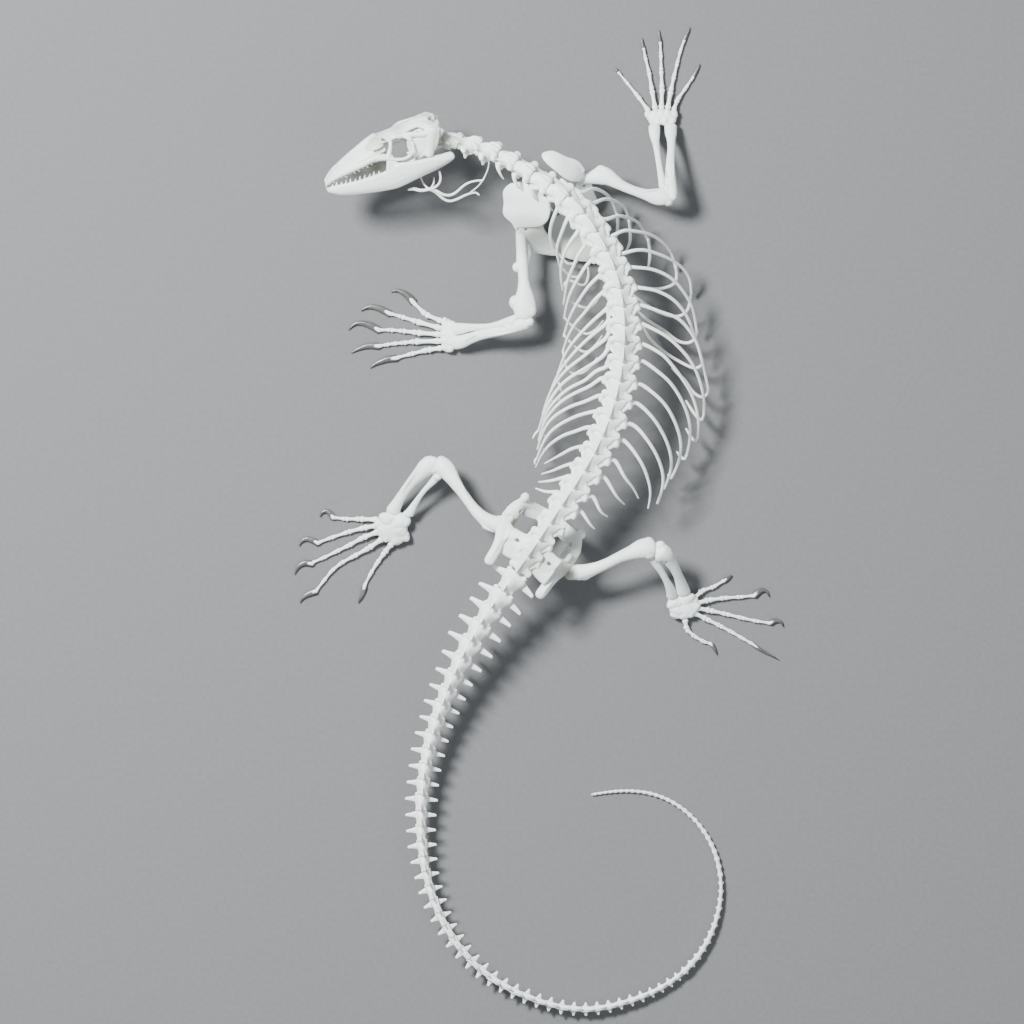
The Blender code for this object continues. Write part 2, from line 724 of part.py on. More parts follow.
leftBlade = ((507, 187, 70), (519, 183, 73), (538, 189, 79), (548, 200, 79), (547, 216, 74),
             (540, 226, 64), (517, 227, 56), (510, 219, 58), (504, 205, 62), (504, 194, 66))
rightBlade = ((541, 155, 66), (550, 151, 68), (560, 155, 66), (578, 163, 60), (584, 172, 54),
              (582, 180, 52), (570, 182, 62), (556, 173, 72), (545, 163, 72))
raw["shoulder_left"] = union([
    plateFrom(leftBlade, 2.4, 3),
    plateFrom(((513, 222, 57), (540, 222, 64), (540, 238, 42), (528, 246, 28), (514, 240, 40)), 6, 2),
    plateFrom(((520, 232, 40), (538, 228, 44), (550, 240, 24), (555, 254, 14), (544, 253, 16),
               (533, 244, 26)), 3, 0),
])
raw["shoulder_right"] = union([
    plateFrom(rightBlade, 2.4, 3),
    plateFrom(((568, 174, 62), (584, 168, 56), (590, 176, 42), (588, 192, 30), (574, 188, 44)), 6, 2),
    plateFrom(((576, 184, 44), (590, 182, 38), (598, 198, 18), (590, 206, 14), (578, 196, 26)), 3, 0),
])
breastbone = ((557, 220, 12), (578, 206, 12), (592, 214, 12), (606, 240, 12), (604, 260, 12),
              (586, 262, 12), (566, 254, 12))
raw["sternum"] = plateFrom(breastbone, 2.6, -1)
keel = plateFrom(breastbone, 2.6 + 2 * jointGap, -1)
middle = sum((plan(*row) for row in breastbone), Vector()) / len(breastbone) * metresPerMm
for vert in keel.data.vertices:
    flat = (vert.co - middle) * 1.02
    vert.co = Vector((middle.x + flat.x, middle.y + flat.y, vert.co.z))
for name in ("torso_left", "torso_right", "shoulder_left", "shoulder_right"):
    spare = bpy.data.objects.new("spare", keel.data.copy())
    raw[name] = cut(raw[name], spare)
bpy.data.objects.remove(keel, do_unlink=True)

# Limbs: each long bone as places along it and its radius there.
limbBones = {
    "humerus_right": ((583, 178, 44, 6), (590, 177, 44, 8.6), (601, 175.5, 45, 10.4), (612, 180, 46, 7),
                      (624, 186, 46, 4.8), (636, 191.5, 46, 4.8), (648, 196, 46, 7), (661, 197, 46, 9.4),
                      (674, 197, 46, 6)),
    "humerus_left": ((522, 234, 44, 6), (523, 242, 44, 7.6), (523, 256, 45, 7.4), (521, 267, 45, 6.8),
                     (524, 282, 45, 4.8), (524, 292, 45, 6.6), (523, 302, 45, 11.6), (523, 312, 45, 12),
                     (521, 322, 45, 9)),
    "ulna_right": ((670, 202, 47, 6.4), (670, 186, 44, 4.8), (671, 160, 32, 2.8), (671, 140, 20, 2.8),
                   (671, 120, 10, 4.6)),
    "radius_right": ((662, 194, 44, 3.4), (661, 176, 40, 2.8), (657, 158, 30, 2.2), (654, 140, 20, 2.4),
                     (654, 120, 10, 4.6)),
    "ulna_left": ((525, 320, 44, 9), (505, 330, 40, 5), (482, 336.5, 29, 3.2), (466, 342, 20, 3.4),
                  (450, 346, 11, 5.6)),
    "radius_left": ((520, 313, 43, 4.2), (502, 324, 38, 3), (482, 328, 29, 2.4), (466, 329, 20, 2.8),
                    (448, 331, 11, 5)),
    "femur_left": ((509, 524, 48, 8), (494, 523, 48, 8.4), (482, 516, 46, 6), (468, 499, 43, 5.2),
                   (455, 483, 40, 6), (446, 472, 38, 8.4), (434, 463, 36, 9)),
    "tibia_left": ((433, 462, 35, 8.6), (425, 468, 33, 7.4), (414, 481, 27, 4.8), (404, 495, 20, 4.4),
                   (394, 512, 12, 6)),
    "fibula_left": ((438, 472, 33, 4.6), (428, 485, 27, 2.8), (416, 500, 20, 3), (409, 512, 14, 4.6),
                    (406, 520, 11, 5)),
    "femur_right": ((562, 573, 48, 7), (577, 572, 48, 7.8), (592, 569, 50, 6), (612, 563, 54, 5.2),
                    (628, 555, 57, 6), (642, 548, 58, 8.4), (656, 545, 58, 9)),
    "tibia_right": ((655, 547, 58, 9), (664, 551, 55, 7.4), (672, 564, 42, 4.8), (679, 578, 27, 4.4),
                    (684, 596, 13, 6)),
    "fibula_right": ((652, 556, 50, 4), (660, 570, 42, 2.6), (667, 586, 28, 2.8), (672, 600, 15, 4.4)),
}
for name, rows in limbBones.items():
    raw[name] = bone([plan(*row[:3]) for row in rows], [row[3] for row in rows], 8, 0.85)

# Pelvis, in the frame of the sacrum.
hipLean = math.radians(5)
hipShift = -1.5
sacrumFrame = spineFrame(jointArcs[presacralCount] + 4)
hipSide = sacrumFrame[2].cross(Vector((0, 0, 1))).normalized()
hipTop = hipSide.cross(sacrumFrame[2])
hipFrame = (
    sacrumFrame[0] + hipSide * hipShift,
    hipSide * math.cos(hipLean) - hipTop * math.sin(hipLean),
    sacrumFrame[2],
    hipTop * math.cos(hipLean) + hipSide * math.sin(hipLean),
)


def hipRod(side, points, radii, flat=0.8, sides=6):
    return bone([local(hipFrame, side * x, y, z) for x, y, z in points], radii, sides, flat, hipFrame[3])


for side, name in ((1, "pelvis_right"), (-1, "pelvis_left")):
    raw[name] = union([
        hipRod(side, ((38, -3, -24), (34, -10, -14), (32, -22, -3), (31, -42, 2)), (10, 7.4, 5.6, 5.2)),
        hipRod(side, ((36, -4, -24), (35, 10, -28), (32, 21, -33), (20, 23, -42), (8, 24, -47),
                      (-2, 25, -49)), (9, 8, 6.4, 5.6, 4.6, 4.6), 0.7),
        hipRod(side, ((36, -4, -24), (24, -14, -38), (12, -22, -47), (-2, -24, -50)), (7, 5.6, 6.4, 7), 0.6),
        ball(local(hipFrame, side * 33, 26, -31), (4.5, 5, 4.5), 6, hipFrame[1:]),
    ])

# Hands and feet: balls of small bones, then each digit from its root to the claw.
digitThick = 2.1


def digit(rows):
    # Narrow shafts between wider knuckles.
    points, radii = [], []
    last = len(rows) - 1
    for i, row in enumerate(rows):
        thick = digitThick * (1 - 0.32 * i / last)
        place = plan(*row)
        if i:
            points.append((points[-1] + place) / 2)
            radii.append(thick * 0.6)
        points.append(place)
        radii.append(thick)
    return bone(points, radii, sides=4, flat=0.9)


def extremity(name, blobs, digits):
    pieces = [ball(plan(*centre), radii, 8) for centre, radii in blobs]
    pieces += [digit(rows) for rows in digits]
    raw[name] = floorCut(union(pieces))


extremity("hand_right", (((661, 116, 6.6), (17, 10, 7)),), (
    ((650, 114, 5), (638, 96, 2.4), (626, 82, 1.2), (615, 68.6, 1.6)),
    ((656, 112, 6), (652, 90, 2.6), (649, 72, 1.4), (645, 56, 1.2), (642.6, 43, 1.6)),
    ((661, 112, 6), (662, 88, 2.6), (661, 70, 1.4), (661, 52, 1.2), (659.6, 36, 1.6)),
    ((667, 112, 6), (671, 90, 2.6), (676, 66, 1.4), (680, 50, 1.2), (686.6, 34.6, 1.6)),
    ((673, 113, 5), (678, 100, 2.4), (686, 88, 1.2), (696, 71, 1.6)),
))
extremity("hand_left", (((449, 336, 6.6), (10, 15, 7)),), (
    ((446, 325, 5), (425, 314, 2.4), (410, 301, 1.6)),
    ((444, 331, 6), (416, 321, 2.6), (402, 317, 1.4), (387, 312.5, 1.6)),
    ((443, 336, 6), (415, 331, 2.6), (392, 330, 1.4), (375, 328.5, 1.6)),
    ((443, 341, 6), (415, 342, 2.6), (395, 343, 1.4), (376, 346, 1.6)),
    ((446, 348, 5), (428, 350, 2.4), (410, 354, 1.2), (393, 358.2, 1.6)),
))
extremity("foot_left", (((388, 530, 6.6), (13, 15, 7)), ((396, 522, 8), (12, 9, 7))), (
    ((384, 520, 5), (362, 519, 2.4), (345, 519, 1.2), (330.6, 515.4, 1.6)),
    ((382, 525, 6), (368, 527, 2.8), (348, 532, 1.6), (330, 538, 1.2), (313, 541.6, 1.6)),
    ((380, 530, 6), (366, 534, 2.8), (350, 545, 1.6), (330, 554, 1.2), (306, 563.4, 1.6)),
    ((384, 538, 6), (372, 547, 2.8), (352, 558, 1.6), (333, 570, 1.2), (312, 593, 1.6)),
    ((392, 540, 6), (386, 552, 2.8), (374, 568, 1.4), (363, 591, 1.6)),
))
extremity("foot_right", (((684, 605, 6.6), (13, 12, 7)),), (
    ((690, 600, 5), (700, 590, 2.4), (713, 587, 1.2), (728, 577.6, 1.6)),
    ((690, 604, 6), (706, 600, 2.8), (724, 598, 1.6), (740, 597, 1.2), (757.6, 592.4, 1.6)),
    ((690, 607, 6), (705, 609, 2.8), (730, 615, 1.6), (752, 620, 1.2), (774, 621.4, 1.6)),
    ((688, 612, 6), (704, 618, 2.8), (724, 628, 1.6), (742, 638, 1.2), (757, 647.4, 1.6)),
    ((682, 614, 5), (686, 630, 2.4), (700, 640, 1.2), (713, 646.6, 1.6)),
))

# Claws: curved horn cones, each parted from its digit at its root.
claws = {
    "claw_hand_right_1": ((618, 72, 1.8), (616, 69.8, 1.9), (614.9, 68.3, 1.9), (614, 67, 1.4)),
    "claw_hand_right_2": ((643.4, 48, 1.8), (642.8, 44, 1.9), (642.3, 41, 1.9), (642, 38, 1.4)),
    "claw_hand_right_3": ((660.2, 42, 1.8), (659.8, 38, 1.9), (659.4, 34, 1.9), (659, 30, 1.4)),
    "claw_hand_right_4": ((684.4, 40, 1.8), (686, 36, 1.9), (688, 31, 1.9), (690, 27, 1.4)),
    "claw_hand_right_5": ((693.4, 76.6, 1.8), (695.6, 72, 1.9), (698, 67.6, 1.9), (700, 64, 1.4)),
    "claw_hand_left_1": ((414, 305, 2), (408, 294, 2), (400, 289, 2), (391, 291, 1.6)),
    "claw_hand_left_2": ((392, 314.4, 2), (381, 307, 2), (371, 304.5, 2), (361, 311, 1.6)),
    "claw_hand_left_3": ((380, 332, 2), (368, 323, 2), (358, 323, 2), (348, 329, 1.6)),
    "claw_hand_left_4": ((381, 346.6, 2), (368, 345.6, 2), (358, 348.6, 2), (351, 353, 1.6)),
    "claw_hand_left_5": ((398, 358, 2), (385, 358.6, 2), (376, 362, 2), (370, 368, 1.6)),
    "claw_foot_left_1": ((334, 519, 2), (329, 512, 2), (324, 511, 2), (320, 516, 1.6)),
    "claw_foot_left_2": ((319, 543.4, 2), (308, 537.4, 2), (302, 540, 2), (299, 546, 1.6)),
    "claw_foot_left_3": ((313, 562.6, 2), (303, 562.6, 2), (297, 568, 2), (294, 575, 1.6)),
    "claw_foot_left_4": ((317, 590.8, 2), (309, 593.4, 2), (303, 598, 2), (300, 603, 1.6)),
    "claw_foot_left_5": ((364.4, 586, 2), (362.6, 593, 2), (360.4, 598.4, 2), (358, 603, 1.6)),
    "claw_foot_right_1": ((724, 580.4, 2), (727, 578.4, 2), (729.6, 576.4, 2), (732, 575, 1.6)),
    "claw_foot_right_2": ((753, 596.6, 2), (760, 589.4, 2), (766.4, 590.4, 2), (769, 597, 1.6)),
    "claw_foot_right_3": ((769, 624.4, 2), (776, 619.4, 2), (781, 621.4, 2), (783, 627, 1.6)),
    "claw_foot_right_4": ((750, 642.4, 2), (763, 651, 2), (771, 655.4, 2), (779, 660, 1.6)),
    "claw_foot_right_5": ((710.6, 643.6, 2), (713, 647, 2), (715, 651, 2), (717, 655, 1.6)),
}
clawRadii = (1.7, 1.35, 0.85, 0.4)
for name, rows in claws.items():
    raw[name] = bone([plan(*row) for row in rows], clawRadii, sides=4)

# Joint faces: first bone, second bone, a place on the plane between, and the way to the second.
jointPlanes = [
    ("shoulder_left", "humerus_left", (523, 240, 44), (0.05, 1, 0)),
    ("shoulder_right", "humerus_right", (589, 178, 44), (1, 0, 0)),
    ("humerus_right", "ulna_right", (665, 192, 46), (0.7, -0.71, 0)),
    ("humerus_right", "radius_right", (665, 192, 46), (0.7, -0.71, 0)),
    ("radius_right", "ulna_right", (664.6, 184, 42), (1, 0, 0)),
    ("humerus_left", "ulna_left", (518, 317, 44), (-0.5, 0.86, 0)),
    ("humerus_left", "radius_left", (518, 317, 44), (-0.5, 0.86, 0)),
    ("radius_left", "ulna_left", (510, 323, 42), (0.3, 1, 0)),
    ("pelvis_left", "femur_left", (503, 523, 48), (-1, 0, 0)),
    ("pelvis_right", "femur_right", (566, 571, 48), (0.9, 0.42, 0)),
    ("femur_left", "tibia_left", (434, 466, 36), (-1, 0.05, 0)),
    ("femur_left", "fibula_left", (437, 477, 34), (-0.6, 0.8, 0)),
    ("femur_right", "tibia_right", (657, 549, 58), (1, 0.3, -0.2)),
    ("femur_right", "fibula_right", (655, 556, 52), (0.2, 0.6, -0.7)),
    ("ulna_right", "hand_right", (671, 126, 10), (0, -1, 0)),
    ("radius_right", "hand_right", (654, 126, 10), (0, -1, 0)),
    ("ulna_left", "hand_left", (457, 345, 10), (-1, 0, 0)),
    ("radius_left", "hand_left", (457, 331, 10), (-1, 0, 0)),
    ("tibia_left", "foot_left", (397, 511, 12), (-0.5, 0.86, 0)),
    ("fibula_left", "foot_left", (409, 513, 12), (-0.5, 0.86, 0)),
    ("tibia_right", "foot_right", (683, 592, 14), (0.3, 0.95, 0)),
    ("fibula_right", "foot_right", (671, 596, 14), (0.3, 0.95, 0)),
]
jointReach = {"humerus": 24, "femur": 24, "shoulder": 11}
digitEnds = {
    "claw_hand_right_1": (616.6, 70.2), "claw_hand_right_2": (642.9, 45), "claw_hand_right_3": (660, 39),
    "claw_hand_right_4": (685.4, 37.4), "claw_hand_right_5": (694.8, 73.6),
    "claw_hand_left_1": (411, 302), "claw_hand_left_2": (389, 313), "claw_hand_left_3": (377, 330),
    "claw_hand_left_4": (378, 346), "claw_hand_left_5": (395, 358),
    "claw_foot_left_1": (332, 517), "claw_foot_left_2": (316, 542), "claw_foot_left_3": (310, 563),
    "claw_foot_left_4": (314.6, 592), "claw_foot_left_5": (363.8, 588.6),
    "claw_foot_right_1": (726, 579), "claw_foot_right_2": (755.4, 594.6), "claw_foot_right_3": (771.4, 622.6),
    "claw_foot_right_4": (753.4, 644.6), "claw_foot_right_5": (711.6, 645.2),
}


def part(first, second, point, way, size=30):
    # Trims two bones to either side of one plane, a joint's gap apart.
    way = Vector(way).normalized()
    raw[first] = cut(raw[first], halfSpace(point - way * jointGap / 2, way, size))
    raw[second] = cut(raw[second], halfSpace(point + way * jointGap / 2, -way, size))


for first, second, place, way in jointPlanes:
    size = jointReach.get(first.split("_")[0], 15)
    part(first, second, plan(*place), (way[0], -way[1], way[2]), size)
for name, (right, down) in digitEnds.items():
    start, after = claws[name][0], claws[name][1]
    way = Vector((after[0] - start[0], start[1] - after[1], 0))
    part(name.replace("claw_", "")[:-2], name, plan(right, down, 2), way, 6)
part("neck", "skull", local(head, 0, -2.6, 2), skullForward, 7)
part("pelvis_left", "pelvis_right", hipFrame[0] - hipFrame[3] * 50, hipFrame[1], 30)
for side, name in ((1, "mandible_right"), (-1, "mandible_left")):
    part("skull", name, local(head, side * 23.5, 19, -1.4), -skullUp, 9)
for name, made in raw.items():
    finish(name, made, horn if name.startswith("claw") else gristle if name == "sternum" else boneWhite)
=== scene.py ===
import math

import bmesh
import bpy
import numpy as np
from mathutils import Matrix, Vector


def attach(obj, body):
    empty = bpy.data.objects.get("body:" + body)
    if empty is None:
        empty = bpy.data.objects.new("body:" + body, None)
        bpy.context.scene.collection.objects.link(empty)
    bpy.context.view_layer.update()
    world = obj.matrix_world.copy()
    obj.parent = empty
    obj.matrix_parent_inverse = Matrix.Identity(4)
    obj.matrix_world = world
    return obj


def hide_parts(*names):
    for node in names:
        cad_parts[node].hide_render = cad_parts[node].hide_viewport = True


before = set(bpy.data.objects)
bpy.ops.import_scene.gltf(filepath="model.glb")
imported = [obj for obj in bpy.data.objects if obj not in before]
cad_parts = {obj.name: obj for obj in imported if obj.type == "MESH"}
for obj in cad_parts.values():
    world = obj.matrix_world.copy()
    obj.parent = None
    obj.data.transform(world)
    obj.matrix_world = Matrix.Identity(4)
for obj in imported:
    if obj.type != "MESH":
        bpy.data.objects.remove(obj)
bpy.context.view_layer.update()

# Lengths are millimetres in plan (right, down) and up from the floor; pieces are made in metres.
mm = 0.001
planCentre = (539.5, 522.0)
upwards = Vector((0, 0, 1))


def plan(right, down, up):
    return Vector((right - planCentre[0], planCentre[1] - down, up))


# The backbone's line, as the frame has it.
spineRoute = (
    (443, 141, 80, 66), (465, 147, 81, 60), (500, 160, 83, 44), (535, 180, 85, 28), (568, 202, 86, 16),
    (595, 235, 87, 8), (614, 271, 87, 2), (624, 327, 87, 0), (616, 402, 86, -6), (596, 455, 84, -9),
    (563, 508, 79, -9), (530, 557, 73, -8), (485, 620, 58, -7), (451, 684, 42, -4), (429, 748, 30, 0),
    (421, 813, 23.5, 0), (427, 876, 19, 0), (450, 933, 15.5, 0), (488, 975, 12.5, 0), (534, 999, 10.6, 0),
    (585, 1009, 9, 0), (630, 1000.5, 7.6, 0), (670, 982, 6.6, 0), (700, 953, 5.8, 0), (716, 920, 5.2, 0),
    (721, 887, 4.7, 0), (715, 853, 4.2, 0), (694, 819, 3.6, 0), (659, 796, 3.0, 0), (620, 791, 2.5, 0),
    (592, 794.5, 2.2, 0),
)
presacralCount, sacralCount, caudalCount, neckCount, sacrumRow = 26, 2, 85, 6, 11
presacralShift = (
    (0, 0.1), (4, 0.03), (7, 0.07), (10, 0.3), (12, 0.29), (14, 0.17), (16, 0.04), (21, -0.15), (23, -0.1), (25, 0.0),
)
caudalPitch = (
    (0, 20), (1, 18), (3, 19.4), (5, 19), (7, 16.6), (8, 16.1), (14, 15.8), (20, 14.7), (28, 13.0), (33, 12.3),
    (39, 11.5), (46, 9.5), (55, 8.5), (58, 8.2), (84, 5),
)


def splineThrough(rows):
    # Natural cubic through rows whose first three columns are a position.
    rows = np.array(rows, float)
    steps = np.linalg.norm(np.diff(rows[:, :3], axis=0), axis=1)
    knots = np.concatenate([[0], np.cumsum(steps)])
    count = len(rows)
    system = np.eye(count)
    right = np.zeros_like(rows)
    for i in range(1, count - 1):
        before, after = steps[i - 1], steps[i]
        system[i, i - 1 : i + 2] = before, 2 * (before + after), after
        right[i] = 6 * ((rows[i + 1] - rows[i]) / after - (rows[i] - rows[i - 1]) / before)
    bend = np.linalg.solve(system, right)

    def at(knot):
        i = int(np.clip(np.searchsorted(knots, knot) - 1, 0, count - 2))
        b = (knot - knots[i]) / steps[i]
        a = 1 - b
        return a * rows[i] + b * rows[i + 1] + ((a**3 - a) * bend[i] + (b**3 - b) * bend[i + 1]) * steps[i] ** 2 / 6

    return at, knots


def tableAt(table, index):
    table = np.array(table, float)
    return [float(np.interp(index, table[:, 0], table[:, k])) for k in range(1, table.shape[1])]


spineAt, spineKnots = splineThrough([tuple(plan(*row[:3])) + (row[3],) for row in spineRoute])
fineSteps = 1200
fineKnots = np.linspace(0, spineKnots[-1], fineSteps)
finePlaces = np.array([spineAt(knot)[:3] for knot in fineKnots])
fineArc = np.concatenate([[0], np.cumsum(np.linalg.norm(np.diff(finePlaces, axis=0), axis=1))])


def spineFrame(arc):
    knot = np.interp(arc, fineArc, fineKnots)
    here = spineAt(knot)
    forward = Vector(spineAt(max(knot - 1, 0))[:3] - spineAt(min(knot + 1, spineKnots[-1]))[:3]).normalized()
    side = forward.cross(upwards).normalized()
    top = side.cross(forward).normalized()
    lean = math.radians(here[3])
    return (Vector(here[:3]), side * math.cos(lean) - top * math.sin(lean), forward,
            top * math.cos(lean) + side * math.sin(lean))


def local(axes, x, y, z):
    return axes[0] + axes[1] * x + axes[2] * y + axes[3] * z


sacrumArc = float(np.interp(spineKnots[sacrumRow], fineKnots, fineArc))
presacralPitch = sacrumArc / (presacralCount + sacralCount - 1)
jointArcs = [presacralPitch * (i + tableAt(presacralShift, i)[0]) for i in range(presacralCount + sacralCount)]
tailGap, keptPitches = 0.85, 8
tailStart = sacrumArc + tailGap * presacralPitch
caudalPitches = np.array([tableAt(caudalPitch, i)[0] for i in range(caudalCount)])
spare = fineArc[-1] - tailStart - caudalPitches[:keptPitches].sum()
caudalPitches[keptPitches:] *= spare / caudalPitches[keptPitches:].sum()
jointArcs += list(tailStart + np.cumsum(caudalPitches) - caudalPitches / 2)
firstTail = presacralCount + sacralCount

frameTable = [spineFrame(arc) for arc in fineArc]
frameAxes = [np.array([tuple(row[k]) for row in frameTable]) for k in range(4)]


def alongSpine(arc, points):
    # Points in a vertebra's own axes, laid along the bend of the backbone.
    arcs = arc - points[:, 1]
    spots = [np.stack([np.interp(arcs, fineArc, axis[:, k]) for k in range(3)], 1) for axis in frameAxes]
    beyond = np.maximum(-arcs, 0) - np.maximum(arcs - fineArc[-1], 0)
    return spots[0] + spots[1] * points[:, :1] + spots[3] * points[:, 2:3] + spots[2] * beyond[:, None]


# Shapes as heaps of closed skins, joined and rounded by a voxel remesh.
def newHeap():
    return [[], []]


def pour(heap, corners, faces):
    start = len(heap[0])
    heap[0].extend(tuple(corner) for corner in corners)
    heap[1].extend(tuple(start + i for i in face) for face in faces)


def skin(heap, rings):
    sides = len(rings[0])
    faces = [(i * sides + j, i * sides + (j + 1) % sides, (i + 1) * sides + (j + 1) % sides, (i + 1) * sides + j)
             for i in range(len(rings) - 1) for j in range(sides)]
    faces += [tuple(range(sides))[::-1], tuple(range((len(rings) - 1) * sides, len(rings) * sides))]
    pour(heap, [corner for ring in rings for corner in ring], faces)


def resample(rows, count):
    rows = np.array(rows, float)
    last = len(rows) - 1
    t = np.linspace(0, last, count)
    i = np.clip(t.astype(int), 0, last - 1)
    f = (t - i).reshape((-1,) + (1,) * (rows.ndim - 1))
    a, b, c, d = rows[np.maximum(i - 1, 0)], rows[i], rows[i + 1], rows[np.minimum(i + 2, last)]
    return 0.5 * (2 * b + (c - a) * f + (2 * a - 5 * b + 4 * c - d) * f**2 + (3 * b - a - 3 * c + d) * f**3)


def tube(heap, points, radii, sides=14, flat=1.0, up=(0, 0, 1), count=0, blunt=0.6):
    # A bone's shaft along points; radii and height for width may change along it, and its ends are rounded.
    size = len(points)
    radii = list(radii) if hasattr(radii, "__len__") else [radii] * size
    flats = list(flat) if hasattr(flat, "__len__") else [flat] * size
    rows = np.array([[*p, r, f] for p, r, f in zip(points, radii, flats)], float)
    if count:
        at, knots = splineThrough(rows)
        ends = np.linspace(0, knots[-1], count)
        soft = 0.22 * knots[-1] / (size - 1)
        places = np.array([at(knot)[:3] for knot in ends])
        widths = [sum(np.interp(ends + step * soft, knots, rows[:, k]) for step in (-1, 0, 0, 1)) / 4 for k in (3, 4)]
        rows = np.column_stack([places, *widths])
    lead, across, rings = Vector(up), None, []
    last = len(rows) - 1
    turns = [2 * math.pi * (j + 0.5) / sides for j in range(sides)]
    for i, row in enumerate(rows):
        place = Vector(row[:3])
        way = (Vector(rows[min(i + 1, last)][:3]) - Vector(rows[max(i - 1, 0)][:3])).normalized()
        side = way.cross(lead)
        if side.length < 0.25:
            side = across if across else way.orthogonal()
        across = (side - way * side.dot(way)).normalized()
        height = across.cross(way)
        radius, tall = float(row[3]), float(row[4])

        def ringAt(shift, scale):
            middle = place + way * shift
            return [middle + across * (radius * scale * math.cos(t)) + height * (radius * tall * scale * math.sin(t))
                    for t in turns]

        if i == 0:
            rings += [ringAt(-radius * blunt * math.sin(math.radians(a)), math.cos(math.radians(a)))
                      for a in (78, 52, 26)]
        rings.append(ringAt(0, 1))
        if i == last:
            rings += [ringAt(radius * blunt * math.sin(math.radians(a)), math.cos(math.radians(a)))
                      for a in (26, 52, 78)]
    skin(heap, rings)


def blob(heap, centre, radii, axes=None, sides=16):
    axes = axes or (Vector((1, 0, 0)), Vector((0, 1, 0)), upwards)
    centre = Vector(centre)
    rings = []
    for a in np.radians(np.linspace(-80, 80, 9)):
        rings.append([centre + axes[0] * (radii[0] * math.cos(a) * math.cos(t))
                      + axes[1] * (radii[1] * math.cos(a) * math.sin(t))
                      + axes[2] * (radii[2] * math.sin(a)) for t in [2 * math.pi * j / sides for j in range(sides)]])
    skin(heap, rings)


def blobs(heap, rows):
    for right, down, up, *radii in rows:
        blob(heap, plan(right, down, up), radii)


def sheet(heap, grid, thick, rows=0, cols=0):
    # A curved plate from rows of points, thinned towards its border.
    grid = np.array(grid, float)
    if rows:
        grid = resample(grid, rows)
    if cols:
        grid = resample(grid.transpose(1, 0, 2), cols).transpose(1, 0, 2)
    r, c = grid.shape[:2]
    normal = np.cross(np.gradient(grid, axis=0), np.gradient(grid, axis=1))
    normal /= np.maximum(np.linalg.norm(normal, axis=2, keepdims=True), 1e-9)
    edge = np.ones((r, c))
    edge[0], edge[-1], edge[:, 0], edge[:, -1] = 0.6, 0.6, 0.6, 0.6
    half = normal * (edge * np.asarray(thick, float) / 2)[..., None]
    corners = list((grid + half).reshape(-1, 3)) + list((grid - half).reshape(-1, 3))
    under = r * c
    faces = []
    for i in range(r - 1):
        for j in range(c - 1):
            a, b, d, e = i * c + j, i * c + j + 1, (i + 1) * c + j + 1, (i + 1) * c + j
            faces += [(a, b, d, e), (e + under, d + under, b + under, a + under)]
    rim = [j for j in range(c)] + [i * c + c - 1 for i in range(1, r)]
    rim += [(r - 1) * c + j for j in range(c - 2, -1, -1)]
    rim += [i * c for i in range(r - 2, 0, -1)]
    faces += [(b, a, a + under, b + under) for a, b in zip(rim, rim[1:] + rim[:1])]
    pour(heap, corners, faces)


def rawObject(name, corners, faces):
    mesh = bpy.data.meshes.new(name)
    mesh.from_pydata([tuple(np.asarray(c, float) * mm) for c in corners], [], faces)
    made = bmesh.new()
    made.from_mesh(mesh)
    bmesh.ops.recalc_face_normals(made, faces=made.faces)
    made.to_mesh(mesh)
    made.free()
    thing = bpy.data.objects.new(name, mesh)
    bpy.context.scene.collection.objects.link(thing)
    return thing


def baked(thing):
    bpy.context.view_layer.update()
    mesh = bpy.data.meshes.new_from_object(thing.evaluated_get(bpy.context.evaluated_depsgraph_get()))
    thing.modifiers.clear()
    old = thing.data
    thing.data = mesh
    bpy.data.meshes.remove(old)
    return thing


def remeshed(thing, voxel):
    change = thing.modifiers.new("voxels", "REMESH")
    change.mode = "VOXEL"
    change.voxel_size = voxel * mm
    return baked(thing)


def meshArrays(thing):
    # Corners in millimetres and triangles of a helper object, which is then removed.
    mesh = thing.data
    mesh.calc_loop_triangles()
    corners = np.zeros(len(mesh.vertices) * 3)
    mesh.vertices.foreach_get("co", corners)
    triangles = np.zeros(len(mesh.loop_triangles) * 3, np.int64)
    mesh.loop_triangles.foreach_get("vertices", triangles)
    bpy.data.objects.remove(thing, do_unlink=True)
    bpy.data.meshes.remove(mesh)
    return corners.reshape(-1, 3) / mm, triangles.reshape(-1, 3)


rippleTexture = bpy.data.textures.new("boneRipple", "CLOUDS")
rippleTexture.noise_scale = 0.0055
rippleTexture.noise_depth = 2


def sculpt(name, heap, shape, cutters=None):
    # One rounded bone out of a heap, in millimetres, as arrays of corners and triangles.
    thing = remeshed(rawObject(name, *heap), shape["voxel"])
    if cutters:
        tool = rawObject("cutter", *cutters)
        change = thing.modifiers.new("cut", "BOOLEAN")
        change.operation, change.object, change.solver = "DIFFERENCE", tool, "MANIFOLD"
        baked(thing)
        bpy.data.objects.remove(tool, do_unlink=True)
        remeshed(thing, shape["voxel"])
    soften = thing.modifiers.new("soften", "SMOOTH")
    soften.factor, soften.iterations = 0.5, shape["smooth"]
    wave = thing.modifiers.new("ripple", "DISPLACE")
    wave.texture, wave.texture_coords = rippleTexture, "LOCAL"
    wave.strength, wave.mid_level = shape["ripple"] * mm, 0.5
    baked(thing)
    count = 2 * len(thing.data.polygons)
    if count > shape["faces"]:
        thin = thing.modifiers.new("thin", "DECIMATE")
        thin.ratio = shape["faces"] / count
        baked(thing)
    return meshArrays(thing)


def direct(heap):
    # Corners and triangles of a heap as it stands, for slender pieces.
    return meshArrays(rawObject("direct", *heap))


hollowShape = {"rounds": 10, "calm": 2, "full": 0.8}


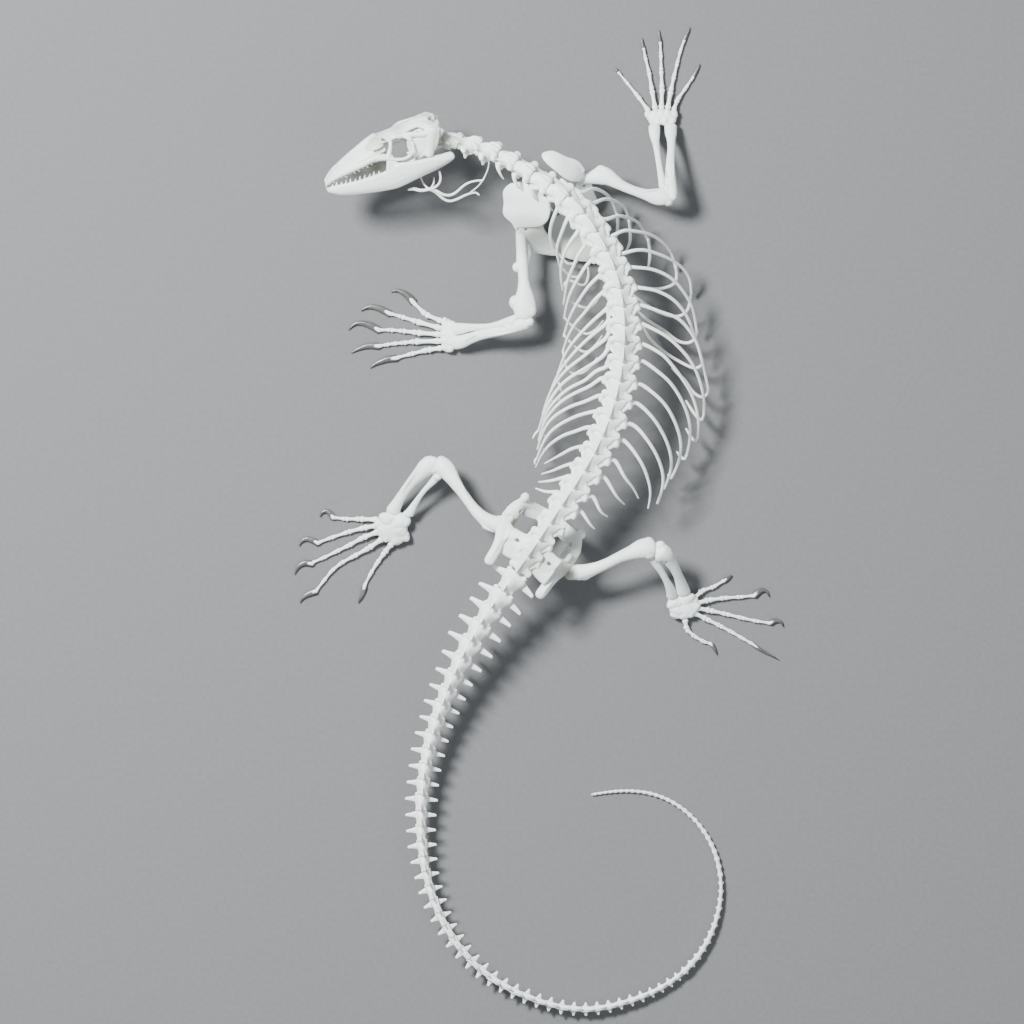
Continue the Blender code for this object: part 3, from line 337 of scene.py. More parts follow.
def hollowness(corners, triangles):
    # How far each corner lies below its surroundings, near and wide: -1 edge to 1 hollow.
    pairs = np.concatenate([triangles[:, [0, 1]], triangles[:, [1, 2]], triangles[:, [2, 0]]])
    pairs = np.concatenate([pairs, pairs[:, ::-1]])
    degree = np.maximum(np.bincount(pairs[:, 0], minlength=len(corners)), 1)[:, None]
    faceNormals = np.cross(corners[triangles[:, 1]] - corners[triangles[:, 0]],
                           corners[triangles[:, 2]] - corners[triangles[:, 0]])
    normals = np.zeros_like(corners)
    for k in range(3):
        np.add.at(normals, triangles[:, k], faceNormals)
    normals /= np.maximum(np.linalg.norm(normals, axis=1, keepdims=True), 1e-12)

    def spread(values):
        total = np.stack([np.bincount(pairs[:, 0], weights=values[pairs[:, 1], k], minlength=len(corners))
                          for k in range(values.shape[1])], 1)
        return total / degree

    wide = corners
    for _ in range(hollowShape["rounds"]):
        wide = 0.4 * wide + 0.6 * spread(wide)
    depth = ((wide - corners) * normals).sum(1)[:, None]
    for _ in range(hollowShape["calm"]):
        depth = 0.5 * depth + 0.5 * spread(depth)
    return np.clip(depth[:, 0] / hollowShape["full"], -1, 1)


# Places given an olive grey or brown tint, partly real staining and partly painted shade in shadowed gaps and
# hollows: right, down, up, reach, strength.
oliveStainAndShadeSpots = (
    (437, 142, 82, 15, 0.9), (452, 143, 82, 12, 0.6), (398, 132, 92, 9, 0.5), (380, 144, 92, 12, 0.55),
    (432, 168, 70, 16, 0.55), (532, 560, 74, 15, 0.45), (540, 562, 66, 16, 0.6), (556, 540, 62, 14, 0.7),
    (568, 548, 58, 16, 0.45), (515, 523, 56, 10, 0.7), (512, 549, 66, 6, 0.6), (524, 513, 48, 7, 0.5),
    (508, 545, 66, 8, 0.4), (632, 470, 80, 10, 0.2), (530, 236, 44, 20, 0.55), (571, 189, 60, 10, 0.5),
    (387, 532, 8, 14, 0.25), (400, 535, 8, 9, 0.45), (560, 575, 60, 8, 0.3),
)
umberStainAndShadeSpots = (
    (568, 573, 48, 9, 0.95), (376, 167, 76, 13, 0.8), (360, 174, 74, 11, 0.6), (388, 163, 70, 8, 0.7),
    (625, 346, 96, 12, 0.3), (572, 189, 58, 7, 0.4), (508, 200, 70, 6, 0.1),
)


def spotMask(corners, spots):
    mask = np.zeros(len(corners))
    for right, down, up, reach, strength in spots:
        distance = np.linalg.norm((corners - np.array(tuple(plan(right, down, up)))) * (1, 1, 0.5), axis=1)
        mask = np.maximum(mask, strength * np.clip(1.35 - distance / reach, 0, 1))
    return mask


materials = {}
pieceCount = {"pieces": 0, "triangles": 0}


def piece(name, parts, nodes, finish="boneAged", floor=None):
    # Joins shapes into one object, gives it its masks and material, and puts it in the frame.
    corners = np.concatenate([part[0] for part in parts])
    starts = np.cumsum([0] + [len(part[0]) for part in parts[:-1]])
    triangles = np.concatenate([part[1] + start for part, start in zip(parts, starts)])
    hollow = np.concatenate([part[2] if len(part) > 2 else hollowness(part[0], part[1]) for part in parts])
    if floor is not None:
        corners[:, 2] = np.maximum(corners[:, 2], floor)
    mesh = bpy.data.meshes.new(name)
    mesh.vertices.add(len(corners))
    mesh.vertices.foreach_set("co", (corners * mm).ravel())
    mesh.loops.add(len(triangles) * 3)
    mesh.loops.foreach_set("vertex_index", triangles.ravel().astype(np.int32))
    mesh.polygons.add(len(triangles))
    mesh.polygons.foreach_set("loop_start", np.arange(0, len(triangles) * 3, 3, dtype=np.int32))
    mesh.update(calc_edges=True)
    mesh.polygons.foreach_set("use_smooth", np.ones(len(triangles), bool))
    for title, values in (("hollow", hollow), ("olive", spotMask(corners, oliveStainAndShadeSpots)),
                          ("umber", spotMask(corners, umberStainAndShadeSpots))):
        mesh.attributes.new(title, "FLOAT", "POINT").data.foreach_set("value", values.astype(np.float32))
    mesh.validate()
    thing = bpy.data.objects.new(name, mesh)
    bpy.context.scene.collection.objects.link(thing)
    mesh.materials.append(materials[finish])
    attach(thing, "root")
    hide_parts(*([nodes] if isinstance(nodes, str) else nodes))
    pieceCount["pieces"] += 1
    pieceCount["triangles"] += len(triangles)
    return thing


# Materials. The groups give colours, masks and normals; each material keeps its own shader.
def group(name, inputs, outputs):
    tree = bpy.data.node_groups.new(name, "ShaderNodeTree")
    for title, kind, value in inputs:
        socket = tree.interface.new_socket(title, in_out="INPUT", socket_type=kind)
        socket.default_value = value
    for title, kind in outputs:
        tree.interface.new_socket(title, in_out="OUTPUT", socket_type=kind)
    return tree, tree.nodes.new("NodeGroupInput"), tree.nodes.new("NodeGroupOutput")


def node(tree, kind, settings=None, links=None, values=None):
    made = tree.nodes.new(kind)
    for key, value in (settings or {}).items():
        setattr(made, key, value)
    for key, value in (values or {}).items():
        made.inputs[key].default_value = value
    for key, source in (links or {}).items():
        tree.links.new(source, made.inputs[key])
    return made


def mixColour(tree, factor, a, b):
    made = tree.nodes.new("ShaderNodeMix")
    made.data_type = "RGBA"
    for key, value in ((0, factor), (6, a), (7, b)):
        if hasattr(value, "is_output"):
            tree.links.new(value, made.inputs[key])
        else:
            made.inputs[key].default_value = (*value, 1) if hasattr(value, "__len__") else value
    return made.outputs[2]


def noise(tree, place, scale, detail, roughness=0.5, distortion=0.0):
    values = {"Scale": scale, "Detail": detail, "Roughness": roughness, "Distortion": distortion}
    return node(tree, "ShaderNodeTexNoise", None, {"Vector": place}, values).outputs["Fac"]


def attribute(tree, name):
    return node(tree, "ShaderNodeAttribute", {"attribute_name": name}).outputs["Fac"]


def calculated(tree, operation, links, values=None):
    return node(tree, "ShaderNodeMath", {"operation": operation}, links, values).outputs[0]


def objectPlace(tree):
    return node(tree, "ShaderNodeTexCoord").outputs["Object"]


def bumped(tree, shader, height, strength, distance):
    lift = node(tree, "ShaderNodeBump", None, {"Height": height}, {"Strength": strength, "Distance": distance})
    tree.links.new(lift.outputs["Normal"], shader.inputs["Normal"])


def mapped(tree, value, low, high, toLow=0.0, toHigh=1.0):
    limits = {"From Min": low, "From Max": high, "To Min": toLow, "To Max": toHigh}
    made = node(tree, "ShaderNodeMapRange", {"interpolation_type": "SMOOTHSTEP"}, {"Value": value}, limits)
    return made.outputs["Result"]


def buildGroups():
    # Fine relief of bone: long fibres, pores and a slow swell, in metres of height over the surface.
    tree, given, put = group("boneRelief", (("Scale", "NodeSocketFloat", 1.0), ("Pores", "NodeSocketFloat", 0.5)),
                             (("Height", "NodeSocketFloat"), ("Pore Mask", "NodeSocketFloat")))
    place = objectPlace(tree)
    scaled = node(tree, "ShaderNodeVectorMath", {"operation": "SCALE"}, {0: place, "Scale": given.outputs["Scale"]})
    scaled = scaled.outputs[0]
    swell = noise(tree, scaled, 260.0, 5.0, 0.6)
    fibre = noise(tree, scaled, 900.0, 4.0, 0.7, 0.6)
    pores = node(tree, "ShaderNodeTexVoronoi", {"feature": "F1"}, {"Vector": scaled},
                 {"Scale": 720.0, "Randomness": 1.0})
    pit = mapped(tree, pores.outputs["Distance"], 0.12, 0.3, 1.0, 0.0)
    sparse = mapped(tree, noise(tree, scaled, 120.0, 2.0), 0.46, 0.62)
    hole = calculated(tree, "MULTIPLY", {0: pit, 1: sparse})
    strong = calculated(tree, "MULTIPLY", {0: hole, 1: given.outputs["Pores"]})
    total = calculated(tree, "MULTIPLY_ADD", {0: fibre, 2: swell}, {1: 0.45})
    total = calculated(tree, "MULTIPLY_ADD", {0: strong, 2: total}, {1: -0.9})
    tree.links.new(total, put.inputs["Height"])
    tree.links.new(strong, put.inputs["Pore Mask"])

    # Colour of aged bone: pale and cool, warmer or greyer at random, with painted shade darkening its hollows, a
    # painted highlight lightening its edges, and olive grey or brown at listed places, partly real staining and
    # partly painted shade.
    tree, given, put = group("boneTone", (
        ("Pale", "NodeSocketColor", (0.8, 0.84, 0.83, 1)), ("Warm", "NodeSocketColor", (0.8, 0.78, 0.7, 1)),
        ("Recess", "NodeSocketColor", (0.36, 0.39, 0.34, 1)), ("Recess Shade", "NodeSocketFloat", 1.0)),
        (("Color", "NodeSocketColor"), ("Edge Light", "NodeSocketFloat")))
    place = objectPlace(tree)
    broad, mottle = noise(tree, place, 34.0, 4.0, 0.55), noise(tree, place, 190.0, 6.0, 0.65)
    hollow, olive, umber = (attribute(tree, name) for name in ("hollow", "olive", "umber"))
    tint = mixColour(tree, mapped(tree, broad, 0.4, 0.7, 0.0, 0.5), given.outputs["Pale"], given.outputs["Warm"])
    tint = mixColour(tree, mapped(tree, mottle, 0.5, 0.8, 0.0, 0.22), tint, (0.62, 0.65, 0.6))
    # Painted shade: hollows darken towards the Recess colour, scaled by Recess Shade.
    low = mapped(tree, hollow, 0.05, 0.75, 0.0, 0.85)
    low = calculated(tree, "MULTIPLY", {0: low, 1: given.outputs["Recess Shade"]})
    tint = mixColour(tree, low, tint, given.outputs["Recess"])
    # Olive grey and brown tints at listed places: partly real staining, partly painted shade.
    tint = mixColour(tree, olive, tint, (0.34, 0.36, 0.28))
    tint = mixColour(tree, umber, tint, (0.27, 0.23, 0.17))
    # Painted highlight: edges lighten towards near white.
    edgeLight = mapped(tree, hollow, -0.1, -0.6, 0.0, 0.6)
    tint = mixColour(tree, edgeLight, tint, (0.9, 0.93, 0.92))
    tree.links.new(tint, put.inputs["Color"])
    tree.links.new(edgeLight, put.inputs["Edge Light"])


def useGroup(tree, name, values):
    return node(tree, "ShaderNodeGroup", {"node_tree": bpy.data.node_groups[name]}, None, values)


def newMaterial(name):
    made = bpy.data.materials.new(name)
    made.use_nodes = True
    return made, made.node_tree, made.node_tree.nodes["Principled BSDF"]


def keepMaterial(name, made, shader, values):
    for key, value in values.items():
        shader.inputs[key].default_value = value
    materials[name] = made


def boneMaterial(name, pale, warm, recess, recessShade=1.0, pores=0.5, rough=(0.38, 0.62), glow=0.12, bump=0.35):
    made, tree, shader = newMaterial(name)
    tone = useGroup(tree, "boneTone", {"Pale": (*pale, 1), "Warm": (*warm, 1), "Recess": (*recess, 1),
                                       "Recess Shade": recessShade})
    relief = useGroup(tree, "boneRelief", {"Scale": 1.0, "Pores": pores})
    # Painted shade: the pores are darkened.
    colour = mixColour(tree, mapped(tree, relief.outputs["Pore Mask"], 0.0, 1.0, 0.0, 0.55), tone.outputs["Color"],
                       (0.3, 0.3, 0.25))
    tree.links.new(colour, shader.inputs["Base Color"])
    tree.links.new(mapped(tree, relief.outputs["Height"], 0.4, 1.0, rough[1], rough[0]), shader.inputs["Roughness"])
    bumped(tree, shader, relief.outputs["Height"], bump, 0.0004)
    keepMaterial(name, made, shader, {
        "Subsurface Weight": glow, "Subsurface Radius": (0.9, 0.75, 0.6), "Subsurface Scale": 0.002,
        "Specular IOR Level": 0.42,
    })


def hornMaterial():
    # Claw sheath: smoky, ribbed along its length, with a painted highlight that makes it paler on its edges.
    made, tree, shader = newMaterial("hornSmoky")
    place = objectPlace(tree)
    streak, broad = noise(tree, place, 520.0, 5.0, 0.6, 0.8), noise(tree, place, 90.0, 3.0)
    tint = mixColour(tree, mapped(tree, broad, 0.35, 0.7), (0.022, 0.022, 0.023), (0.065, 0.062, 0.06))
    tint = mixColour(tree, mapped(tree, streak, 0.5, 0.75, 0.0, 0.3), tint, (0.1, 0.098, 0.096))
    # Painted highlight: the claw's edges are made paler.
    tint = mixColour(tree, mapped(tree, attribute(tree, "hollow"), -0.05, -0.45, 0.0, 0.35), tint,
                     (0.17, 0.17, 0.167))
    tree.links.new(tint, shader.inputs["Base Color"])
    tree.links.new(mapped(tree, streak, 0.3, 0.8, 0.22, 0.45), shader.inputs["Roughness"])
    bumped(tree, shader, streak, 0.4, 0.0003)
    keepMaterial("hornSmoky", made, shader, {
        "Subsurface Weight": 0.06, "Subsurface Radius": (1.0, 0.8, 0.6), "Subsurface Scale": 0.0015,
                                             "Coat Weight": 0.25, "Coat Roughness": 0.2,
    })


buildGroups()
# Each bone material's third colour is the painted shade in its hollows.
boneMaterial("boneAged", (0.84, 0.9, 0.88), (0.85, 0.855, 0.79), (0.36, 0.4, 0.35))
boneMaterial("boneLimb", (0.84, 0.91, 0.9), (0.86, 0.885, 0.845), (0.4, 0.44, 0.4), 0.8, 0.35)
boneMaterial("boneTooth", (0.88, 0.9, 0.87), (0.86, 0.85, 0.78), (0.5, 0.47, 0.38), 0.7, 0.0, (0.2, 0.34), 0.2, 0.12)
boneMaterial("gristle", (0.56, 0.6, 0.56), (0.6, 0.6, 0.53), (0.3, 0.33, 0.29), 0.9, 0.2, (0.3, 0.5), 0.25, 0.25)
boneMaterial("gristleRib", (0.68, 0.71, 0.66), (0.7, 0.69, 0.61), (0.4, 0.42, 0.37), 0.9, 0.25, (0.34, 0.55), 0.2,
             0.3)
hornMaterial()
print("materials ready")


# Vertebrae. Templates stand at the facets, x right, y ahead, z up, and are laid along the backbone.
def trunkSizes(index):
    wide = float(np.interp(index, (0, 3, 8, 14, 20, 25), (9, 12, 15.5, 17.2, 16.8, 15.6)))
    tall = float(np.interp(index, (0, 2, 6, 10, 25), (12, 16, 18.5, 18.5, 19)))
    body = float(np.interp(index, (0, 8, 25), (5.2, 6.3, 6.5)))
    return wide, tall, body


dorsalShape = {
    "centrum": ((4.2, 6.2), (0, 5.3), (-6, 4.6), (-11, 5.1), (-14.4, 6.1)),
    "body": 6.2, "voxel": 0.55, "smooth": 6, "faces": 8600, "ripple": 0.16,
}


def dorsalTemplate(index):
    wide, tall, body = trunkSizes(index)
    heap = newHeap()
    grow = body / dorsalShape["body"]
    tube(heap, [(0, y, -0.4) for y, r in dorsalShape["centrum"]], [r * grow for y, r in dorsalShape["centrum"]], 18,
         0.86, count=12, blunt=0.1)
    blob(heap, (0, -15.0, -0.2), (4.6 * grow, 2.8, 3.6 * grow))
    # Walls and roof of the canal, with the hollow between the front facets.
    roof = ((6.2, 9.4, 7.8, 6.8), (2.0, 10.6, 10.2, 6.6), (-2.6, 9.6, 13.4, 6.4), (-8.0, 7.2, 15.0, 8.0),
            (-12.5, 8.4, 14.4, 8.8), (-16.2, 9.2, 12.8, 8.6))
    sheet(heap, [[(x * half * wide / 16.5, y, (mid - (mid - low) * abs(x) ** 1.1) * tall / 18)
                  for x in (-1, -0.6, -0.25, 0, 0.25, 0.6, 1)]
                 for y, half, mid, low in roof], 3.0, 16, 13)
    for side in (-1, 1):
        tube(heap, [(side * 4.8, 4, 2), (side * 5.0, -2, 4.5), (side * 4.8, -10, 4.5)], [2.6, 3.0, 2.6], 10, 1.7)
        # Front facet, rear facet and the knob that bears the rib.
        tube(heap, [(side * 5, 1.0, 6.0), (side * wide * 0.52, 3.4, 6.4), (side * wide * 0.78, 6.0, 7.4)],
             [3.6, 3.4, 3.0], 12, 0.8, count=7)
        blob(heap, (side * wide * 0.74, 5.6, 7.6), (3.9, 3.6, 1.5))
        tube(heap, [(side * 4, -9.0, 9.4), (side * wide * 0.5, -12.2, 9.6), (side * wide * 0.72, -13.8, 9.4)],
             [3.6, 3.4, 2.6], 12, 0.66, count=7)
        blob(heap, (side * wide * 0.68, -13.4, 9.2), (4.2, 4.0, 1.6))
        tube(heap, [(side * 4, -0.5, 0.5), (side * wide * 0.6, -1.2, 1.8), (side * wide * 0.88, -1.6, 2.6)],
             [4.6, 4.2, 3.4], 14, (1.0, 1.05, 1.2), count=8)
        blob(heap, (side * wide * 0.92, -1.8, 2.8), (2.6, 3.4, 4.0))
        tube(heap, [(side * wide * 0.82, 4.5, 6.0), (side * wide * 0.9, -1.0, 4.2)], [2.4, 2.6], 10)
        tube(heap, [(side * wide * 0.8, -2.5, 4.0), (side * wide * 0.56, -8.0, 6.6), (side * wide * 0.44, -12, 8.2)],
             [2.4, 2.0, 1.8], 10, 0.8, count=7)
    # Spine, thickened along its top.
    spine = ((0.6, 8.6, 12.4), (-3.0, 9.2, tall - 1.6), (-9, 9.8, tall), (-14, 10, tall), (-17.8, 10.4, tall - 1.0))
    sheet(heap, [[(0, y, low), (0, y, (low + high) / 2), (0, y - 0.4, high)] for y, low, high in spine], 2.0, 12, 6)
    tube(heap, [(0, -2.6, tall - 2.4), (0, -9, tall - 0.4), (0, -14, tall - 0.3), (0, -17.6, tall - 1.6)],
         [0.7, 1.0, 1.3, 1.0], 10, count=9)
    tube(heap, [(0, 0.5, 9.6), (0, -6, 11.4), (0, -12, 12), (0, -17.4, 12)], [2.6, 3.2, 3.6, 3.2], 14, 1.25, count=9)
    tube(heap, [(0, -12.6, 10.4), (0, -15.4, 12.4), (0, -17.2, tall - 2)], [3.6, 2.6, 1.6], 12, 1.0, count=7)
    return sculpt("dorsal", heap, dorsalShape)


cervicalShape = {"voxel": 0.5, "smooth": 9, "faces": 8200, "ripple": 0.16}


def cervicalTemplate(index):
    wide, tall, body = trunkSizes(index)
    heap = newHeap()
    tube(heap, [(0, 5, -0.2), (0, 0, -0.4), (0, -6, -0.6), (0, -12, -0.4), (0, -14.6, -0.2)],
         [body, body * 0.84, body * 0.74, body * 0.84, body], 16, 0.9, count=12, blunt=0.1)
    blob(heap, (0, -15, -0.2), (body * 0.76, 2.6, body * 0.6))
    # Keel under the body, ending in a peg.
    sheet(heap, [[(0, 3, -3), (0, -2, -3), (0, -8, -3), (0, -13, -3)],
                 [(0, 0, -6.5), (0, -3.4, -7.6), (0, -8, -6.6), (0, -12, -5.4)],
                 [(0, -2.6, -9), (0, -4.4, -10.6), (0, -7, -9), (0, -9.4, -7)]], 2.2, 9, 9)
    tube(heap, [(0, -2.6, -5), (0, -4.0, -9), (0, -4.6, -12.6)], [3.0, 2.2, 1.4], 12, 1.1, (0, 1, 0), count=6)
    for side in (-1, 1):
        tube(heap, [(side * body * 0.75, 4, 2), (side * body * 0.8, -3, 4), (side * body * 0.75, -11, 4)],
             [2.4, 2.8, 2.4], 10, 1.7)
        tube(heap, [(side * 4, 1, 5.4), (side * wide * 0.6, 4.4, 6.2), (side * wide * 0.84, 7.4, 6.8)],
             [3.4, 3.0, 2.3], 12, 0.7, count=7)
        blob(heap, (side * wide * 0.82, 6.6, 7.2), (3.4, 3.4, 1.4))
        tube(heap, [(side * 3.4, -8.4, 8.6), (side * wide * 0.58, -12, 9.0), (side * wide * 0.8, -13.6, 9.0)],
             [3.4, 3.0, 2.4], 12, 0.66, count=7)
        blob(heap, (side * wide * 0.76, -13.0, 8.9), (3.6, 3.8, 1.5))
        tube(heap, [(side * 3.6, 0, 0), (side * wide * 0.62, -1, -0.6), (side * wide * 0.86, -2.4, -1.6)],
             [3.8, 3.2, 2.2], 12, 0.9, count=7)
        if index > 2:
            tube(heap, [(side * wide * 0.84, -2, -1.6), (side * (wide * 0.9 + 2), -7, -4.4),
                        (side * (wide * 0.84 + 1.6), -13, -7.6 - index)],
                 [2.2, 1.6, 1.0], 10, 0.8, count=8)
    roof = ((6.6, 7.6, 7.2, 5.6), (2, 8.0, 9.4, 6.0), (-4, 7.2, 11.6, 6.4), (-10, 7.4, 12.2, 7.2),
            (-15.8, 8.2, 11.6, 7.6))
    sheet(heap, [[(x * half * wide / 11.5, y, (mid - (mid - low) * abs(x) ** 1.6) * tall / 17)
                  for x in (-1, -0.5, 0, 0.5, 1)]
                 for y, half, mid, low in roof], 2.4, 14, 9)
    spine = ((-1.0, 8, 11.6), (-4.6, 8.6, tall - 1.6), (-9, 9, tall), (-12.6, 9.4, tall), (-15.4, 9.6, tall - 1.8))
    sheet(heap, [[(0, y, low), (0, y - 0.6, (low + high) / 2), (0, y - 1.2, high)] for y, low, high in spine], 2.0,
          12, 6)
    tube(heap, [(0, -5.6, tall - 1.4), (0, -10, tall - 0.2), (0, -13.6, tall - 0.4), (0, -16, tall - 1.6)],
         [1.3, 2.0, 2.2, 1.6], 10, count=8)
    return sculpt("cervical", heap, cervicalShape)


def withHollow(part):
    return part[0], part[1], hollowness(*part)


def laid(template, arc, scale):
    corners, triangles, hollow = template
    return alongSpine(arc, corners * np.array(scale)), triangles, hollow


cervicals = {k: withHollow(cervicalTemplate(k)) for k in (1, 3, 5)}
dorsals = {k: withHollow(dorsalTemplate(k)) for k in (8, 15, 22)}


def vertebraAt(index):
    store = cervicals if index < neckCount + 1 else dorsals
    key = min(store, key=lambda k: abs(k - index))
    now, base = trunkSizes(index), trunkSizes(key)
    gap = (jointArcs[min(index + 1, presacralCount + 1)] - jointArcs[max(index - 1, 0)]) / (2 if index else 1)
    stretch = float(np.clip(gap / presacralPitch, 0.86, 1.14))
    wobble = 1 + 0.02 * math.sin(index * 2.7)
    return laid(store[key], jointArcs[index], (now[0] / base[0] * wobble, stretch, now[1] / base[1] * (2 - wobble)))


atlasShape = {"voxel": 0.5, "smooth": 5, "faces": 9000, "ripple": 0.16}


def atlas():
    # Ring bone behind the skull, with the smooth tube that joins it to the next.
    heap = newHeap()
    tube(heap, [(0, 6, 1), (0, 0, 1), (0, -6, 1), (0, -13, 0.4)], [6.4, 6.9, 6.5, 5.8], 20, 1.02, count=10,
         blunt=0.25)
    for side in (-1, 1):
        tube(heap, [(side * 5, 2, 3), (side * 7.4, -2, 2.4), (side * 6.8, -6, 1)], [2.6, 2.2, 1.6], 12, count=6)
    tube(heap, [(0, 3, 6.4), (0, -4, 8.2), (0, -11, 9.0), (0, -15, 9.4)], [2.2, 2.8, 3.0, 2.6], 12, 0.8, count=8)
    tube(heap, [(0, 2, -4), (0, -3, -6.4), (0, -7, -7.2)], [2.4, 2.0, 1.4], 12, count=6)
    part = withHollow(sculpt("atlas", heap, atlasShape))
    return laid(part, jointArcs[0], (1, 1, 1))


piece("neck_vertebrae", [atlas()] + [vertebraAt(i) for i in range(1, neckCount)], "neck")
piece("trunk_vertebrae_front", [vertebraAt(i) for i in range(neckCount, 16)], ("torso_left", "torso_right"))
piece("trunk_vertebrae_rear", [vertebraAt(i) for i in range(16, presacralCount)], ("torso_left", "torso_right"))
print("neck and trunk ready")

sacrumShape = {"reach": 28.4, "voxel": 0.55, "smooth": 5, "faces": 30000, "ripple": 0.16}


def sacralBars():
    heap = newHeap()
    for index, root, sweep in ((presacralCount, -6, -12), (presacralCount + 1, -4, -7)):
        axes = spineFrame(jointArcs[index])
        for side in (-1, 1):
            points = [local(axes, 0, root, 0), local(axes, side * 9, root + (sweep - root) * 0.3, 0.8),
                      local(axes, side * 17, root + (sweep - root) * 0.7, 0.6),
                      local(axes, side * (sacrumShape["reach"] - 0.5), sweep, 0)]
            tube(heap, points, [7.4, 7.0, 7.2, 8.0], 16, (0.7, 0.58, 0.54, 0.6), axes[3], count=12, blunt=0.15)
            blob(heap, local(axes, side * (sacrumShape["reach"] - 2), sweep, -0.6), (3.4, 6.4, 4.6), axes[1:])
    for side in (-1, 1):
        front, rear = spineFrame(jointArcs[presacralCount]), spineFrame(jointArcs[presacralCount + 1])
        tube(heap, [local(front, side * 11, -8, 2.0), local(rear, side * 11, -3, 2.0)], [3.6, 3.6], 12, 0.6)
        tube(heap, [local(front, side * 27, -12, 0), local(rear, side * 27, -6, 0)], [2.6, 2.6], 12, 1.4)
        sheet(heap, [[local(front, side * 10, -7, 3.0), local(front, side * 18, -10, 2.4),
                      local(front, side * 26, -12, 1.6)],
                     [local(rear, side * 10, 6, 3.0), local(rear, side * 18, 4, 2.4), local(rear, side * 26, 2, 1.6)],
                     [local(rear, side * 10, -5, 3.0), local(rear, side * 18, -6, 2.4),
                      local(rear, side * 26, -7, 1.6)]], 4.0, 10, 8)
    cutters = newHeap()
    for side in (-1, 1):
        blob(cutters, local(rear, side * 20, 6.4, 3), (2.6, 2.0, 9), rear[1:])
    return sculpt("sacralBars", heap, sacrumShape, cutters)


sacralTemplate = dorsals[22]
piece("sacral_vertebrae", [laid(sacralTemplate, jointArcs[presacralCount + k], (0.86, 1, 1)) for k in (0, 1)]
      + [sacralBars()], "sacrum")
print("sacrum ready")

# Tail. Sizes run along the row of tail vertebrae.
armSpan = (
    (0, 52), (4, 50), (5, 45), (7, 39), (10, 35), (13, 33), (16, 30.5), (18, 27), (23, 22), (30, 16), (40, 12),
    (47, 9), (54, 6.5), (58, 5), (84, 2.6),
)
bodyHalf = ((0, 6.2), (7, 5.6), (13, 4.9), (22, 3.9), (33, 3.2), (46, 2.7), (58, 2.4), (84, 1.3))
crestHeight = ((0, 19), (6, 18), (18, 13), (33, 8), (48, 4.6), (58, 3), (84, 1.3))
chevronDrop = ((0, 8), (1, 18), (4, 26), (10, 24), (18, 17), (28, 12), (58, 4), (84, 2))
facetHalf = ((0, 13.5), (4, 11.5), (8, 9.6), (13, 7.2), (20, 4.6), (33, 2.4), (46, 1.9), (58, 1.5), (84, 0.9))
tailGroups = (
    ("tail_base_bones", "tail_base", 0, 8), ("tail_2_bones", "tail_2", 8, 17), ("tail_3_bones", "tail_3", 17, 28),
    ("tail_4_bones", "tail_4", 28, 41), ("tail_5_bones", "tail_5", 41, 58), ("tail_tip_bones", "tail_tip", 58, 85),
)
caudalFineness = (
    (0, 0.55, 9000), (8, 0.5, 7600), (20, 0.42, 5200), (40, 0.34, 3200), (60, 0.24, 1500), (84, 0.16, 700),
)
plainTailFrom = 56
tailKeys = (0, 2, 5, 8, 12, 17, 23, 31, 40, 50, 64, 78)


